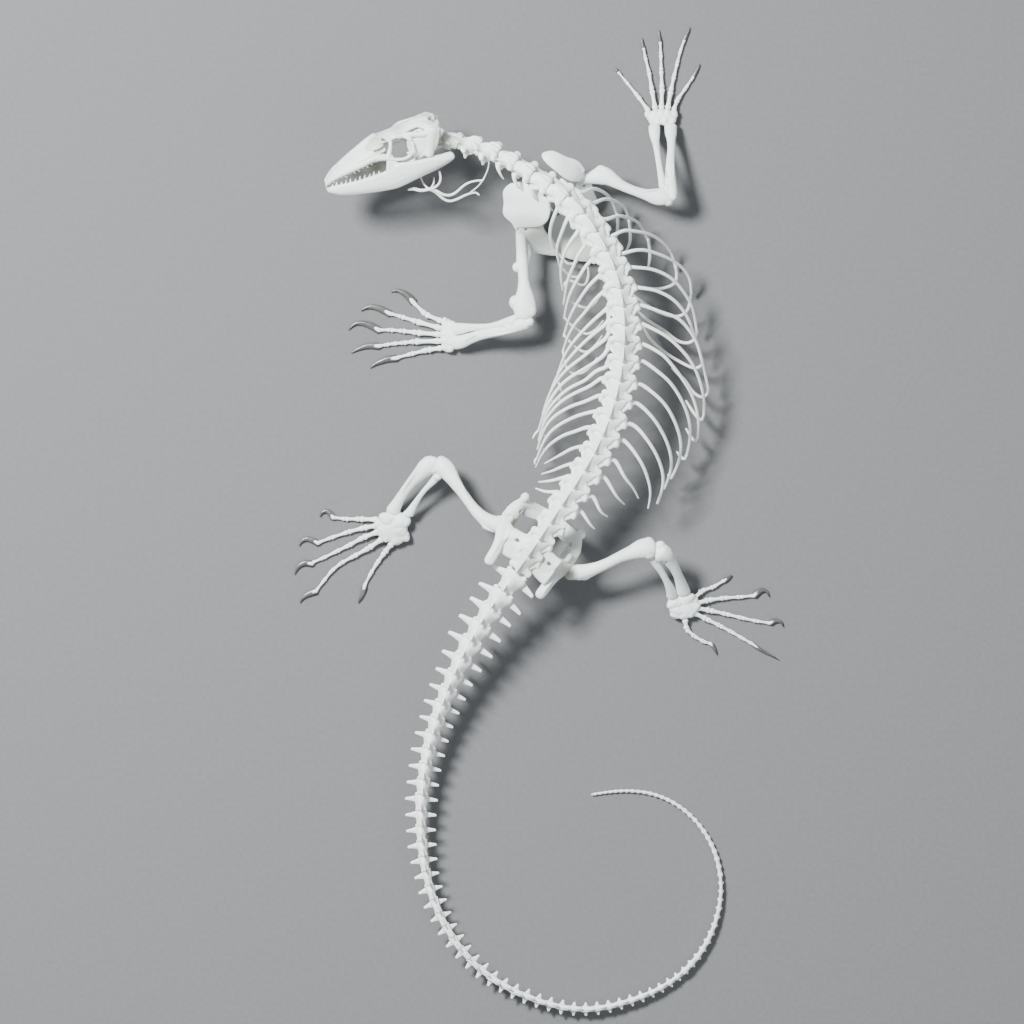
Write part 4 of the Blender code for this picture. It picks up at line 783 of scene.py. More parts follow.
def caudalTemplate(index):
    p = float(caudalPitches[index])
    half = tableAt(armSpan, index)[0] / 2
    body = tableAt(bodyHalf, index)[0]
    tall = tableAt(crestHeight, index)[0]
    facet = tableAt(facetHalf, index)[0]
    low = tableAt(chevronDrop, index)[0] + body * 0.5
    heap = newHeap()
    late = float(np.clip((index - 14) / 16, 0, 1))
    tube(heap, [(0, 0.46 * p, 0), (0, 0.3 * p, 0), (0, 0.14 * p, -0.1), (0, -0.1 * p, 0), (0, -0.34 * p, 0),
                (0, -0.46 * p, 0)],
         [body * (1.04 - 0.24 * late), body * (0.94 + 0.1 * late), body * (0.82 + 0.42 * late),
          body * (0.82 + 0.12 * late), body * (0.96 - 0.26 * late),
          body * (1.06 - 0.34 * late)], 16, 0.95, count=13, blunt=0.1)
    blob(heap, (0, -0.47 * p, 0), (body * 0.72, 0.1 * p, body * 0.68))
    # Blade-like arms, swept back to blunt tips.
    if half > body + 0.5:
        for side in (-1, 1):
            sweep = 0.07 * p - (3 if index == 0 else 0)
            reach = half - body * 0.4
            thin = float(np.interp(index, (2, 9), (0.95, 0.78)))
            spots = [(0.0, 0.14, 0.32), (0.22, 0.14, 0.29 * thin), (0.55, 0.12, 0.18 * thin), (0.9, 0.1, 0.11 * thin),
                     (1.0, 0.07, 0.08 * thin)]
            grid = []
            for t, mid, wide in spots:
                x = side * (body * 0.4 + reach * t)
                y = mid * p + (sweep - 0.07 * p) * t
                z = 0.5 - 0.12 * body * t * 2
                grid.append([(x, y - wide * p, z), (x, y - wide * p * 0.4, z + 0.25),
                             (x, y + wide * p * 0.4, z + 0.25), (x, y + wide * p, z)])
            sheet(heap, grid, max(0.34 * body, 0.9), 10, 7)
            tube(heap, [(side * body * 0.5, 0.14 * p, 0.4), (side * (body * 0.4 + reach * 0.55),
                                                             0.12 * p + (sweep - 0.07 * p) * 0.55, 0.4),
                                                             (side * (half - 0.08 * p), sweep + 0.01 * p, 0.0)],
                 [body * 0.5, max(0.09 * p * thin, 0.45), max(0.062 * p * thin, 0.4)], 10, 0.7, count=8, blunt=0.9)
    if index < plainTailFrom:
        # Arch, facets and spine.
        for side in (-1, 1):
            tube(heap, [(side * body * 0.6, 0.2 * p, body * 0.7), (side * facet * 0.54, 0.38 * p, body * 0.95),
                        (side * facet * 0.7, 0.5 * p, body * 1.05)], [body * 0.5, body * 0.46, body * 0.36], 10, 0.8,
                        count=6)
            blob(heap, (side * facet * 0.66, 0.46 * p, body * 1.1), (facet * 0.22, 0.12 * p, body * 0.26))
            tube(heap, [(side * body * 0.4, -0.3 * p, body * 1.35), (side * facet * 0.42, -0.44 * p, body * 1.35),
                        (side * facet * 0.56, -0.5 * p, body * 1.3)], [body * 0.44, body * 0.4, body * 0.34], 10, 0.8,
                        count=6)
            tube(heap, [(side * body * (0.62 - 0.1 * late), 0.3 * p, body * 0.5),
                        (side * body * (0.66 - 0.26 * late), -0.3 * p, body * 0.7)],
                        [body * 0.4, body * (0.38 - 0.06 * late)], 10, 1.5)
            tube(heap, [(side * body * 0.5, 0.3 * p, body * 1.0), (side * body * 0.36, -0.4 * p, body * 1.3)],
                 [body * 0.42, body * 0.36], 10, 0.8)
        tube(heap, [(0, 0.1 * p, body * 1.1), (0, -0.2 * p, body * 1.5), (0, -0.5 * p, body * 1.7)],
             [body * 0.3, body * 0.4, body * 0.36], 10, count=6)
        high = float(np.interp(index, (0, 10, 24), (2.0, 1.7, 1.2)))
        roof = ((0.5, 0.8 - 0.2 * late, 1.2, 0.95), (0.25, 0.9, 1.2 * high ** 0.5, 0.8),
                (0.0, 0.84, 1.25 * high, 0.7), (-0.3, 0.66 - 0.22 * late, 1.25 * high, 0.9),
                (-0.56, 0.6 - 0.16 * late, 1.2 * high, 1.1))
        sheet(heap, [[(x * facet * wide, y * p, body * (mid - (mid - edge) * abs(x) ** 1.3))
                      for x in (-1, -0.5, 0, 0.5, 1)]
                     for y, wide, mid, edge in roof], max(0.36 * body, 0.9), 10, 9)
        if tall > body * 1.4:
            lean = [[(0, 0.04 * p, body), (0, -0.06 * p, (body + tall) / 2), (0, -0.26 * p, tall - 0.6)],
                    [(0, -0.2 * p, body), (0, -0.3 * p, (body + tall) / 2), (0, -0.42 * p, tall)],
                    [(0, -0.5 * p, body * 1.4), (0, -0.54 * p, (body + tall) / 2), (0, -0.62 * p, tall - 0.8)]]
            sheet(heap, lean, max(0.26 * body, 0.7), 8, 8)
            tube(heap, [(0, -0.26 * p, tall - 0.7), (0, -0.44 * p, tall - 0.2), (0, -0.62 * p, tall - 1.0)],
                 [0.14 * body + 0.2, 0.17 * body + 0.3, 0.14 * body + 0.2],
                 8, count=6)
    else:
        tube(heap, [(0, 0.3 * p, body * 0.7), (0, -0.5 * p, body * 1.0)], [body * 0.34, body * 0.28], 8)
    # Chevron: two legs that join below in a blade.
    if index > 0:
        for side in (-1, 1):
            tube(heap, [(side * body * 0.6, -0.42 * p, -body * 0.7),
                        (side * body * 0.34, -0.5 * p, -body * 0.9 - low * 0.2), (0, -0.56 * p, -low * 0.62)],
                 [body * 0.22 + 0.25, body * 0.17 + 0.2, body * 0.17 + 0.2], 8, count=6)
        tube(heap, [(0, -0.54 * p, -low * 0.5), (0, -0.62 * p, -low * 0.8), (0, -0.7 * p, -low)],
             [body * 0.2 + 0.2, body * 0.18 + 0.2, body * 0.14 + 0.2],
             8, 1.8, (0, 1, 0), count=6)
    voxel, faces = tableAt(caudalFineness, index)
    return sculpt("caudal", heap, {"voxel": voxel, "smooth": 5, "faces": int(faces), "ripple": 0.1 * body / 5})


caudals = {k: withHollow(caudalTemplate(k)) for k in tailKeys}


def caudalAt(index):
    key = min(tailKeys, key=lambda k: (abs(k - index), k)) if index else 0
    ratio = [tableAt(table, index)[0] / tableAt(table, key)[0] for table in (armSpan, crestHeight)]
    stretch = float(caudalPitches[index] / caudalPitches[key])
    wobble = 1 + 0.025 * math.sin(index * 1.9)
    corners, triangles, hollow = caudals[key]
    scaled = corners * (ratio[0] * wobble, stretch, 1)
    scaled[:, 1] -= float(np.interp(index, (0, 1, 3, 60, 84), (0.12, 0.3, 0.38, 0.38, 0))) * caudalPitches[index]
    scaled[:, 2] *= np.where(scaled[:, 2] > 0, ratio[1],
                             tableAt(chevronDrop, index)[0] / tableAt(chevronDrop, key)[0])
    turned = scaled.copy()
    roll = 0.05 * math.sin(index * 3.1)
    turned[:, 0] = scaled[:, 0] * math.cos(roll) + scaled[:, 2] * math.sin(roll)
    return alongSpine(jointArcs[firstTail + index], turned), triangles, hollow


for name, cadNode, first, last in tailGroups:
    piece(name, [caudalAt(i) for i in range(first, last)], cadNode, floor=0.1)
print("tail ready")

# Ribs. Each follows its line in plan; its height falls as the frame's own rib does.
rightRibs = (
    (7, 38, 43, 145), (8, 46, 48, 135), (9, 53, 51, 124), (10, 59, 53, 114), (12, 68, 55, 102), (14, 76, 57, 94),
    (15, 77, 57, 91), (16, 74, 56, 102), (18, 70, 54, 102), (20, 69, 44, 86), (21, 58, 32, 50), (22, 50, 24, 45),
    (24, 37, 10, 55),
)
leftRibs = (
    (7, 42, 44, 120), (8, 52, 48, 112), (10, 60, 52, 105), (12, 60, 55, 96), (14, 64, 57, 80), (16, 71, 56, 35),
    (18, 67, 54, 50), (19, 60, 52, 80), (20, 53, 44, 97), (21, 42, 32, 48), (22, 37, 24, 42), (24, 34, 10, 55),
)
rightRibLines = {
    6: ((580, 193), (590, 190), (600, 191), (609, 197), (614, 206), (617, 216)),
    7: ((588, 204), (600, 201), (612, 200.5), (620, 204), (627, 213), (629, 222)),
    8: ((600, 219), (615, 217), (625, 217.5), (635, 221), (643, 230), (648, 241)),
    9: ((608, 237), (620, 232.5), (632, 231.5), (645, 233.5), (657, 238.5), (667, 247), (673, 258), (675.5, 268)),
    10: ((615, 254), (630, 252), (650, 252), (662, 256), (674, 262), (684, 270), (690, 281), (691, 294)),
    11: (
        (619, 266), (635, 268), (650, 269.5), (663, 274), (675, 282), (684, 293), (691, 305), (695, 320), (697, 333),
    ),
    12: ((629, 287), (645, 289), (658, 292), (670, 298), (680, 307), (688, 319), (694, 335), (700, 352), (702, 360)),
    13: (
        (632, 304), (650, 308.5), (662, 313), (676, 318), (687, 328), (696, 342), (701, 358), (705, 374), (708, 388),
    ),
    14: (
        (637, 324), (652, 329), (665, 336), (678, 347), (690, 361), (697, 374), (702, 390), (704, 404), (703.5, 416),
    ),
    15: ((638, 345), (655, 350.5), (668, 361), (682, 379), (691, 394), (696, 408), (698, 420), (697.5, 438)),
    16: ((638, 363), (655, 370), (668, 381), (680, 398), (688, 417), (690, 437), (686.5, 456)),
    17: ((635, 385), (650, 391), (664, 404), (675, 423), (680.5, 443), (679, 460), (672.5, 476)),
    18: ((631, 404), (647, 412), (660, 429), (669, 449), (671, 467), (664.5, 488)),
    19: ((626, 424), (645, 437.5), (658, 459), (663, 479), (657.5, 503)),
    20: ((618, 441), (636, 455), (646, 474), (650, 491), (648, 508)),
    21: ((611, 460), (622, 473), (632, 487), (638, 498)),
    22: ((600, 477), (613, 491), (624, 504)),
    23: ((590, 496), (599, 509), (607, 516.5)),
    24: ((578, 511), (588, 521.5), (594, 528.5)),
}
leftRibLines = {
    5: ((560, 196), (556, 212), (551.5, 224), (550, 235), (552, 244), (556, 251)),
    6: ((570, 208), (566, 222), (561, 235), (557.5, 246), (558, 258), (560.5, 268)),
    7: ((580, 226), (572, 240), (565.5, 251), (562, 262), (561, 276), (563, 290)),
    8: ((589, 238), (581, 251), (574.5, 264), (569, 277), (566, 290), (564, 304)),
    9: ((598, 252), (590, 262), (581, 274), (573, 288), (568, 301), (564.5, 318)),
    10: ((604, 268), (594, 281), (584, 293), (575, 307), (569, 320), (564, 336)),
    11: ((608, 284), (598, 297), (587, 310), (577, 322), (569, 335), (563, 352)),
    12: ((610, 302), (601, 314), (589, 325), (577, 338), (568, 350), (560, 368), (556, 380)),
    13: ((609, 318), (599, 330), (587, 340), (575, 352), (565, 364), (555, 381), (549, 397)),
    14: ((609, 333), (598, 345), (583, 357), (570, 367), (558, 380), (549, 396), (543, 414)),
    15: ((608, 349), (597, 361), (581, 371), (567, 380), (554, 394), (545, 411), (539, 430)),
    16: ((608, 365), (599, 370), (587, 379), (572, 387), (559, 397), (548, 411), (541, 430)),
    17: ((605, 379), (594, 383.5), (580, 391), (566, 398.5), (553, 410), (545, 422), (539, 440)),
    18: ((602, 397), (589, 400), (575, 405), (561, 412), (550, 421), (543, 433), (538, 449)),
    19: ((599, 412.5), (588, 413), (575, 417), (561, 424), (549, 434), (542, 446), (537, 459)),
    20: ((591, 429), (578, 430.5), (565, 435), (552, 443), (543, 453), (536, 467)),
    21: ((590, 446), (579, 447), (565, 452.5), (555, 458), (545, 463.5)),
    22: ((583, 462), (571, 464), (556, 469.5), (542, 474)),
    23: ((571, 476.5), (562, 478), (550, 481), (539, 482)),
    24: ((559, 493), (551, 492), (543, 491), (536, 488.5)),
}
ribShape = {"root": 2.5, "middle": 1.7, "tip": 1.4, "free": 0.8, "flat": 1.3, "lowest": 9.0, "freeFrom": 20}


def ribHeight(index, side, share):
    reach, drop, turn = tableAt(rightRibs if side > 0 else leftRibs, max(index, 7))
    turn = math.radians(turn)
    away = (1 - math.cos(turn * share)) / (1 - math.cos(min(turn, math.pi / 2)))
    axes = spineFrame(jointArcs[index])
    x = 10 + (reach - 10) * math.sin(turn * share) / math.sin(min(turn, math.pi / 2))
    return max(local(axes, side * x, 0, 2.5 - drop * away).z, ribShape["lowest"])


def ribPart(index, side, line):
    spots = np.array(line, float)
    steps = np.concatenate([[0], np.cumsum(np.linalg.norm(np.diff(spots, axis=0), axis=1))])
    share = steps / steps[-1]
    points = [plan(x, y, ribHeight(index, side, t)) for (x, y), t in zip(spots, share)]
    tip = ribShape["tip"] if index < ribShape["freeFrom"] else ribShape["free"]
    radii = [float(np.interp(t, (0, 0.14, 0.55, 1), (ribShape["root"], ribShape["middle"] * 1.08, ribShape["middle"],
                                                     tip))) for t in share]
    heap = newHeap()
    axes = spineFrame(jointArcs[index])
    root = local(axes, side * trunkSizes(index)[0] * 0.86, 0, 2.6)
    tube(heap, [root.lerp(points[0], 0.15)] + points, [ribShape["root"] * 1.15] + radii, 12, ribShape["flat"],
         (0, 0, 1), count=30, blunt=0.9)
    return direct(heap)


def strand(rows, thick, sides=10, flat=1.0, count=0):
    heap = newHeap()
    spots = [plan(*row) for row in rows]
    tube(heap, spots, thick, sides, flat, count=count or 6 * len(spots), blunt=0.9)
    return direct(heap)


for title, side, lines in (("right", 1, rightRibLines), ("left", -1, leftRibLines)):
    piece("ribs_" + title, [ribPart(i, side, line) for i, line in lines.items()], "torso_" + title)

# Cartilages that run on from the ribs: right, down and up.
rightGristle = (
    ((617, 215, 50), (617.5, 222, 40), (617, 232, 30), (615, 240, 20)),
    ((629, 221, 46), (630, 232, 38), (629.5, 243, 30), (626, 251, 22)),
    ((648, 240, 44), (649.5, 250, 38), (649.5, 260, 32), (648, 268, 26)),
    (
        (675.5, 267, 42), (676.5, 276, 36), (674.5, 283, 32), (668, 287, 29), (658, 289, 26), (645, 288, 24),
        (632, 285, 22), (620, 279, 20),
    ),
    (
        (691, 293, 40), (689.5, 304, 36), (686, 312, 33), (680, 316, 31), (670, 316, 29), (657, 311.5, 27),
        (645, 304, 25), (632, 294, 24),
    ),
    (
        (697, 332, 38), (695, 338, 35), (691, 342, 33), (684, 343, 31), (676, 340, 30), (667, 333, 28),
        (655, 325, 26), (645, 318, 24), (636, 309, 24),
    ),
    (
        (702, 359, 38), (702, 364, 35), (697, 368, 33), (690, 367, 32), (680, 362, 30), (670, 356, 28),
        (657, 346, 26), (648, 336, 25), (643, 326, 25),
    ),
    (
        (708, 387, 36), (707, 394, 33), (703, 397, 32), (698, 396, 31), (692, 391, 30), (685, 381, 28),
        (678, 374, 27), (672, 368.5, 26),
    ),
    ((703.5, 415, 34), (701, 420, 32), (697, 417, 31), (691, 409, 30), (686, 401, 29)),
    ((697.5, 437, 32), (695, 441, 31), (691, 437, 30), (686, 429, 29)),
    ((686.5, 455, 30), (684, 459, 29), (680, 456, 28), (677, 452, 28)),
    ((672.5, 475, 28), (671, 478, 27), (668, 475, 27)),
)
leftGristle = (
    ((556, 251, 30), (562, 258, 24), (569, 264, 20), (577, 262, 17)),
    ((560.5, 267, 32), (566, 272, 27), (573, 277, 23), (581, 275, 19), (583, 268, 17)),
    ((563, 289, 33), (568, 281, 27), (576, 283, 24), (584, 285, 21), (588, 278, 19), (588, 268, 17)),
    ((564, 303, 34), (569, 302, 30), (577, 305, 27), (586, 308, 25), (593, 305, 23), (600, 296, 22)),
    ((564.5, 317, 34), (570, 324, 30), (578, 330, 27), (587, 334, 25), (594, 331, 24), (603, 321, 23)),
    ((564, 335, 33), (571, 343, 30), (578, 349, 28), (587, 352, 26), (594, 347, 25), (602, 336, 24)),
    ((563, 351, 32), (565, 362, 30), (569, 371, 28), (578, 374, 27), (588, 369, 26), (597, 358, 25)),
    ((556, 379, 30), (560, 386, 29), (562, 392, 28), (571, 387, 27)),
    ((549, 396, 28), (553, 401, 27), (560, 399, 26)), ((543, 413, 27), (548, 414, 27), (555, 410, 26)),
    ((539, 429, 26), (542, 424, 26), (549, 423, 25)), ((541, 429, 27), (536, 433, 26), (533, 438, 25)),
    ((539, 439, 27), (543, 436, 27), (548, 437, 26)), ((538, 448, 26), (540, 446, 26), (543, 449, 26)),
    ((537, 458, 26), (535, 461, 25), (535, 464, 25)),
)
gristleThick = {"right": (1.35, 1.6, 1.0), "left": (1.3, 1.4, 0.9)}
for title, lines in (("right", rightGristle), ("left", leftGristle)):
    first, middle, last = gristleThick[title]
    parts = [strand(rows, [first] + [middle] * (len(rows) - 2) + [last], 10, 1.15) for rows in lines]
    piece("rib_gristle_" + title, parts, "torso_" + title, "gristleRib")
print("ribs ready")

# Skull, in its own axes: x right, y ahead of the condyle, z up.
skullForward = Vector((-0.92, -0.40, 0.0)).normalized()
skullSide = skullForward.cross(upwards).normalized()
skullLean = math.radians(66)
head = (plan(443, 140, 80), skullSide * math.cos(skullLean) - upwards * math.sin(skullLean), skullForward,
        upwards * math.cos(skullLean) + skullSide * math.sin(skullLean))


def inHead(part):
    corners = part[0]
    turn = np.array([tuple(axis) for axis in head[1:]])
    return (np.array(tuple(head[0])) + corners @ turn, *part[1:])


ovalSides = 22


def oval(y, half, low, high, square, narrow):
    # A section across the head, squarer than an ellipse and drawn in towards its top.
    ring = []
    for t in [2 * math.pi * (j + 0.5) / ovalSides for j in range(ovalSides)]:
        a, b = math.cos(t), math.sin(t)
        power = 2 / square
        px = math.copysign(abs(a) ** power, a)
        pz = math.copysign(abs(b) ** power, b)
        ring.append(Vector((half * px * (1 - narrow * max(pz, 0)), y, (low + high) / 2 + (high - low) / 2 * pz)))
    return ring


skullShape = {
    "snout": (
        (126.0, 1.8, 2.8, 5.6, 0.1), (124.2, 4.2, 4.4, 8.4, 0.15), (119.6, 7.6, 9.4, 12.8, 0.2),
        (112, 11.2, 12.0, 17.2, 0.3), (103, 14.0, 13.4, 21.0, 0.36), (94, 15.8, 14.4, 24.6, 0.4),
        (85, 17.2, 15.2, 27.6, 0.42), (76, 18.2, 15.8, 30.2, 0.42), (68, 18.4, 16.0, 31.6, 0.38),
        (61, 17.2, 16.0, 32.0, 0.34), (56.5, 14.2, 15.6, 31.4, 0.3),
    ),
    "voxel": 0.5, "smooth": 5, "faces": 160000, "ripple": 0.22, "rings": 34,
}


def skullHeap():
    heap = newHeap()
    rows = resample([(y, half, low, high, narrow) for y, half, low, high, narrow in skullShape["snout"]],
                    skullShape["rings"])
    skin(heap, [oval(y, half, low, high, 2.5, narrow) for y, half, low, high, narrow in rows])
    # Nasal bar, frontal roof, parietal table.
    tube(heap, [(0, 104, 20), (0, 92, 24.6), (0, 80, 29), (0, 70, 31.4), (0, 62, 31.6)], [3.4, 3.2, 3.2, 4.2, 7.0],
         14, 0.6, count=16)
    sheet(heap, [[(-14.0, 66, 27.0), (-6, 66, 31), (0, 66, 31.6), (6, 66, 31), (14.0, 66, 27.0)],
                 [(-12.8, 56, 27.6), (-5, 56, 31), (0, 56, 31.2), (5, 56, 31), (12.8, 56, 27.6)],
                 [(-12.0, 47, 26.8), (-5, 47, 30.4), (0, 47, 30.6), (5, 47, 30.4), (12.0, 47, 26.8)],
                 [(-13.2, 38, 26.6), (-6, 38, 30.2), (0, 38, 30.6), (6, 38, 30.2), (13.2, 38, 26.6)],
                 [(-15.2, 32, 26.4), (-7, 32, 30.0), (0, 32, 30.6), (7, 32, 30.0), (15.2, 32, 26.4)]], 3.0, 22, 17)
    sheet(heap, [[(-13, 35, 27.2), (-6, 35, 30.2), (0, 35, 30.6), (6, 35, 30.2), (13, 35, 27.2)],
                 [(-11.0, 28, 28.2), (-5, 28, 30.4), (0, 28, 31), (5, 28, 30.0), (9.6, 28, 28.6)],
                 [(-10.6, 20, 28.2), (-5, 20, 30.2), (0, 20, 31), (5, 20, 29.8), (9.0, 20, 28.4)],
                 [(-11.4, 12, 26.8), (-5, 12, 29), (0, 12, 30), (5, 12, 29), (10.6, 12, 27.6)],
                 [(-11.0, 6, 24.6), (-5, 6, 27), (0, 5, 28), (5, 6, 27), (11.0, 6, 25.4)]], 3.4, 22, 15)
    # Braincase.
    skin(heap, [oval(y, half, low, high, 2.2, 0.1) for y, half, low, high in resample(
        ((-2.4, 3.6, -2.6, 4.4), (-0.5, 5.4, -3.8, 6.4), (2, 8.6, -3.4, 16), (7, 10.6, -2.0, 24),
         (14, 11.0, -1.0, 28), (22, 9.6, 1, 28),
         (29, 6.6, 7, 27.6)), 18)])
    tube(heap, [(0, 10, -1), (0, 24, 0.5), (0, 38, 1.5)], [3.4, 2.6, 1.2], 12, 0.7, count=8)
    for side in (-1, 1):
        skullSidePieces(heap, side)
    return heap


def skullSidePieces(heap, side):
    def line(*rows):
        return [(side * x, y, z) for x, y, z in rows]

    # Upper jaw's edge, its bar below the eye and the small bones round the eye.
    tube(heap, line((3.0, 123.6, 7.4), (7.6, 117, 11.2), (11.6, 106, 14.0), (14.6, 93, 15.6), (16.6, 79, 17.0),
                    (17.6, 67, 17.6), (18.2, 60, 16.4)),
         [1.8, 1.9, 2.1, 2.3, 2.3, 2.3, 2.0], 14, 1.3, count=26)
    tube(heap, line((17.4, 70, 17), (19.0, 60, 14.0), (20.8, 51, 9.0), (21.8, 43, 6.6), (22.0, 36, 7.4),
                    (21.2, 30.6, 12.4), (19.6, 29, 18.4)), [2.2, 2.0, 1.35, 1.05, 1.15, 1.2, 1.2], 12, 1.2, count=24)
    tube(heap, line((8.6, 49, 28.6), (12.8, 49.0, 26.4), (15.8, 50.6, 23.0), (17.8, 53.6, 18.6), (18.6, 57, 14.4)),
         [2.2, 2.0, 1.9, 2.2, 2.8], 12, 1.0, count=18)
    # Rim behind the eye, upper side bar: the far one stands a little higher, as the head lies.
    rise = 1.4 if side > 0 else 0.0
    tube(heap, line((11.4, 40, 28.0), (14.6, 35, 27.4), (17.0, 31.6, 25.0), (18.4, 30, 21.6), (18.8, 31, 17.6)),
         [2.4, 2.8, 2.8, 2.3, 1.6], 12, 0.9, count=16)
    thick = 1.7 if side > 0 else 2.5
    tube(heap, line((12.4, 40, 27.4), (15.4, 34, 27.4 + rise * 0.6), (16.8, 27, 25.6 + rise),
                    (18.2, 19, 22.6 + rise * 2), (19.4, 10, 20.8 + rise * 1.6), (20.4, 2, 18.6)),
         [2.2, thick, thick, thick, thick + 0.4, 3.0], 14, 1.15, count=24)
    sheet(heap, [line((3.0, 20, 30.0), (5.8, 12, 28.8), (4.0, 4.6, 25.4)),
                 line((9.6, 19, 28.8), (11.4, 9.6, 27.4), (9.6, 1.6, 22.6)),
                 line((15.4, 15.0, 26.6), (16.4, 6.0, 25.0), (14.6, -1.0, 18.8)),
                 line((19.6, 11.0, 23.4), (20.6, 2.4, 21.6), (18.8, -4.4, 15.0))], 3.6, 18, 14)
    # Quadrate: a shaft with a broad shell, and its two-lobed lower end.
    tube(heap, line((19.8, 5.6, 22.4), (21.0, 8.6, 16.4), (22.2, 12.4, 10.0), (23.2, 16.4, 4.0), (23.4, 19, 1.0)),
         [5.4, 4.8, 4.4, 4.4, 4.8], 14, 0.8, (1, 0, 0), count=18)
    sheet(heap, [line((19.8, -1.6, 21.4), (20.8, 5.0, 23.6), (19.0, 11.6, 22.8)),
                 line((21.6, 1.6, 14.6), (22.6, 8.0, 15.6), (20.6, 15.4, 15.6)),
                 line((22.8, 6.4, 7.6), (23.8, 12.4, 8.6), (22.2, 19.0, 9.4)),
                 line((23.2, 12.6, 2.0), (23.8, 17.4, 2.8), (22.8, 22.6, 3.6))], 2.6, 14, 11)
    blob(heap, (side * 22.0, 19.0, 0.2), (2.8, 3.8, 2.2))
    blob(heap, (side * 25.0, 18.6, 0.6), (2.2, 3.2, 2.2))
    # Braincase arms, palate rods, post between palate and roof, and the wall beside it.
    tube(heap, line((5, 4.5, 9.5), (10.5, 1.6, 12.4), (14.6, 0.6, 14.6), (17.4, 0.4, 16.4)), [5.6, 5.0, 4.4, 3.6], 14,
         0.9, count=14)
    blob(heap, (side * 13.4, 2.6, 20.4), (5.4, 4.6, 5.0))
    tube(heap, line((5, 14, 6), (8.6, 18, 3.4), (10.8, 23, 0.2), (10.6, 27, -1.6)), [3.0, 2.6, 2.4, 2.0], 12, 0.8,
         count=10)
    tube(heap, line((8, 68, 13), (8.2, 61, 8.6), (7.2, 52, -1.4), (7.0, 42, -5.8), (9.0, 34, -4.8), (12.6, 26, -1.0),
                    (17.0, 19.5, 1.6), (20.6, 13.6, 3.4)),
         [3.4, 3.0, 2.4, 2.2, 2.6, 3.4, 3.2, 2.4], 12, 0.8, count=26)
    tube(heap, line((21.4, 37, 10.6), (17.4, 32.6, 5.0), (12.6, 29.4, 0.6), (10.6, 29, -1.6)), [1.9, 2.4, 2.8, 2.4],
         12, 0.9, count=12)
    tube(heap, line((11.2, 27.4, -1.6), (11.0, 25.6, 6), (10.4, 23.6, 15), (9.6, 22, 24)), [2.0, 1.5, 1.4, 1.8], 10,
         1.0, (1, 0, 0), count=12)
    front = 35 if side < 0 else 29
    sheet(heap, [line((16.2, front - 2, 22.6), (16.6, 25, 20.6), (18.0, 14, 18.6)),
                 line((15.0, front + 0.6, 14.0), (16.8, 25, 13.0), (19.0, 14, 12)),
                 line((13.4, front - 0.4, 6.0), (16.6, 25, 5.0), (20.0, 16, 5)),
                 line((11.4, front - 4, -1.0), (15.2, 23, -1.0), (20.4, 17, 0.4))], 2.4, 16, 13)


def skullCutters():
    heap = newHeap()
    for side in (-1, 1):
        blob(heap, (side * 10.8, 64.0, 31.4), (7.4, 12.6, 8.4), None, 24)
        blob(heap, (side * 14.4, 60.6, 26.0), (5.6, 8.6, 6.2), None, 24)
        blob(heap, (side * 6.6, 112, 17.0), (2.2, 4.6, 2.4))
        for y, z in ((118, 12.4), (110, 14.2), (102, 15.8), (94, 17.2), (86, 18.4), (79, 19.2), (73, 19.6)):
            half = float(np.interp(y, [row[0] for row in skullShape["snout"][::-1]],
                                   [row[1] for row in skullShape["snout"][::-1]]))
            blob(heap, (side * (half + 0.2), y, z), (1.2, 0.62, 0.5), None, 10)
    blob(heap, (0, 22, 33.2), (0.9, 1.1, 2.4), None, 10)
    return heap


# Teeth: sharp, curved back, rooted along the jaws' edges.
def fang(heap, root, tip, back, thick):
    root, tip = Vector(root), Vector(tip)
    middle = root.lerp(tip, 0.5) + Vector((0, 0.5, 0)) + Vector(back) * 0.3
    tube(heap, [root, middle, tip + Vector(back)], [thick, thick * 0.72, 0.12], 8, 1.3, (1, 0, 0), count=7, blunt=0.3)


def teeth(row, count, length, down, seed):
    at, knots = splineThrough(row)
    heap = newHeap()
    for i in range(count):
        x, y, z = at(knots[-1] * (i + 0.5) / count)
        size = (1 + 0.2 * math.sin(seed + i * 2.3)) * (0.72 + 0.4 * math.sin(math.pi * (i + 1) / (count + 1)))
        fang(heap, (x * 0.99, y, z - down * 2.2), (x * 0.99, y - 0.7, z + down * length * size), (0, -1.1, 0),
             1.5 + 0.12 * math.sin(i * 1.7 + seed))
    return heap


skullPart = sculpt("skull", skullHeap(), skullShape, skullCutters())
piece("skull_bones", [inHead((*skullPart, hollowness(*skullPart)))], "skull")
upperTeeth = [teeth([(side * x, y, z) for x, y, z in ((3.0, 122.8, 7.4), (8.2, 115, 11.6), (12.2, 103, 13.8),
                                                      (15.4, 88, 15.2), (17.2, 69, 16.0))],
                    12, 4.4, -1, side) for side in (-1, 1)]
piece("upper_teeth", [inHead(direct(heap)) for heap in upperTeeth], "skull", "boneTooth")
print("skull ready")

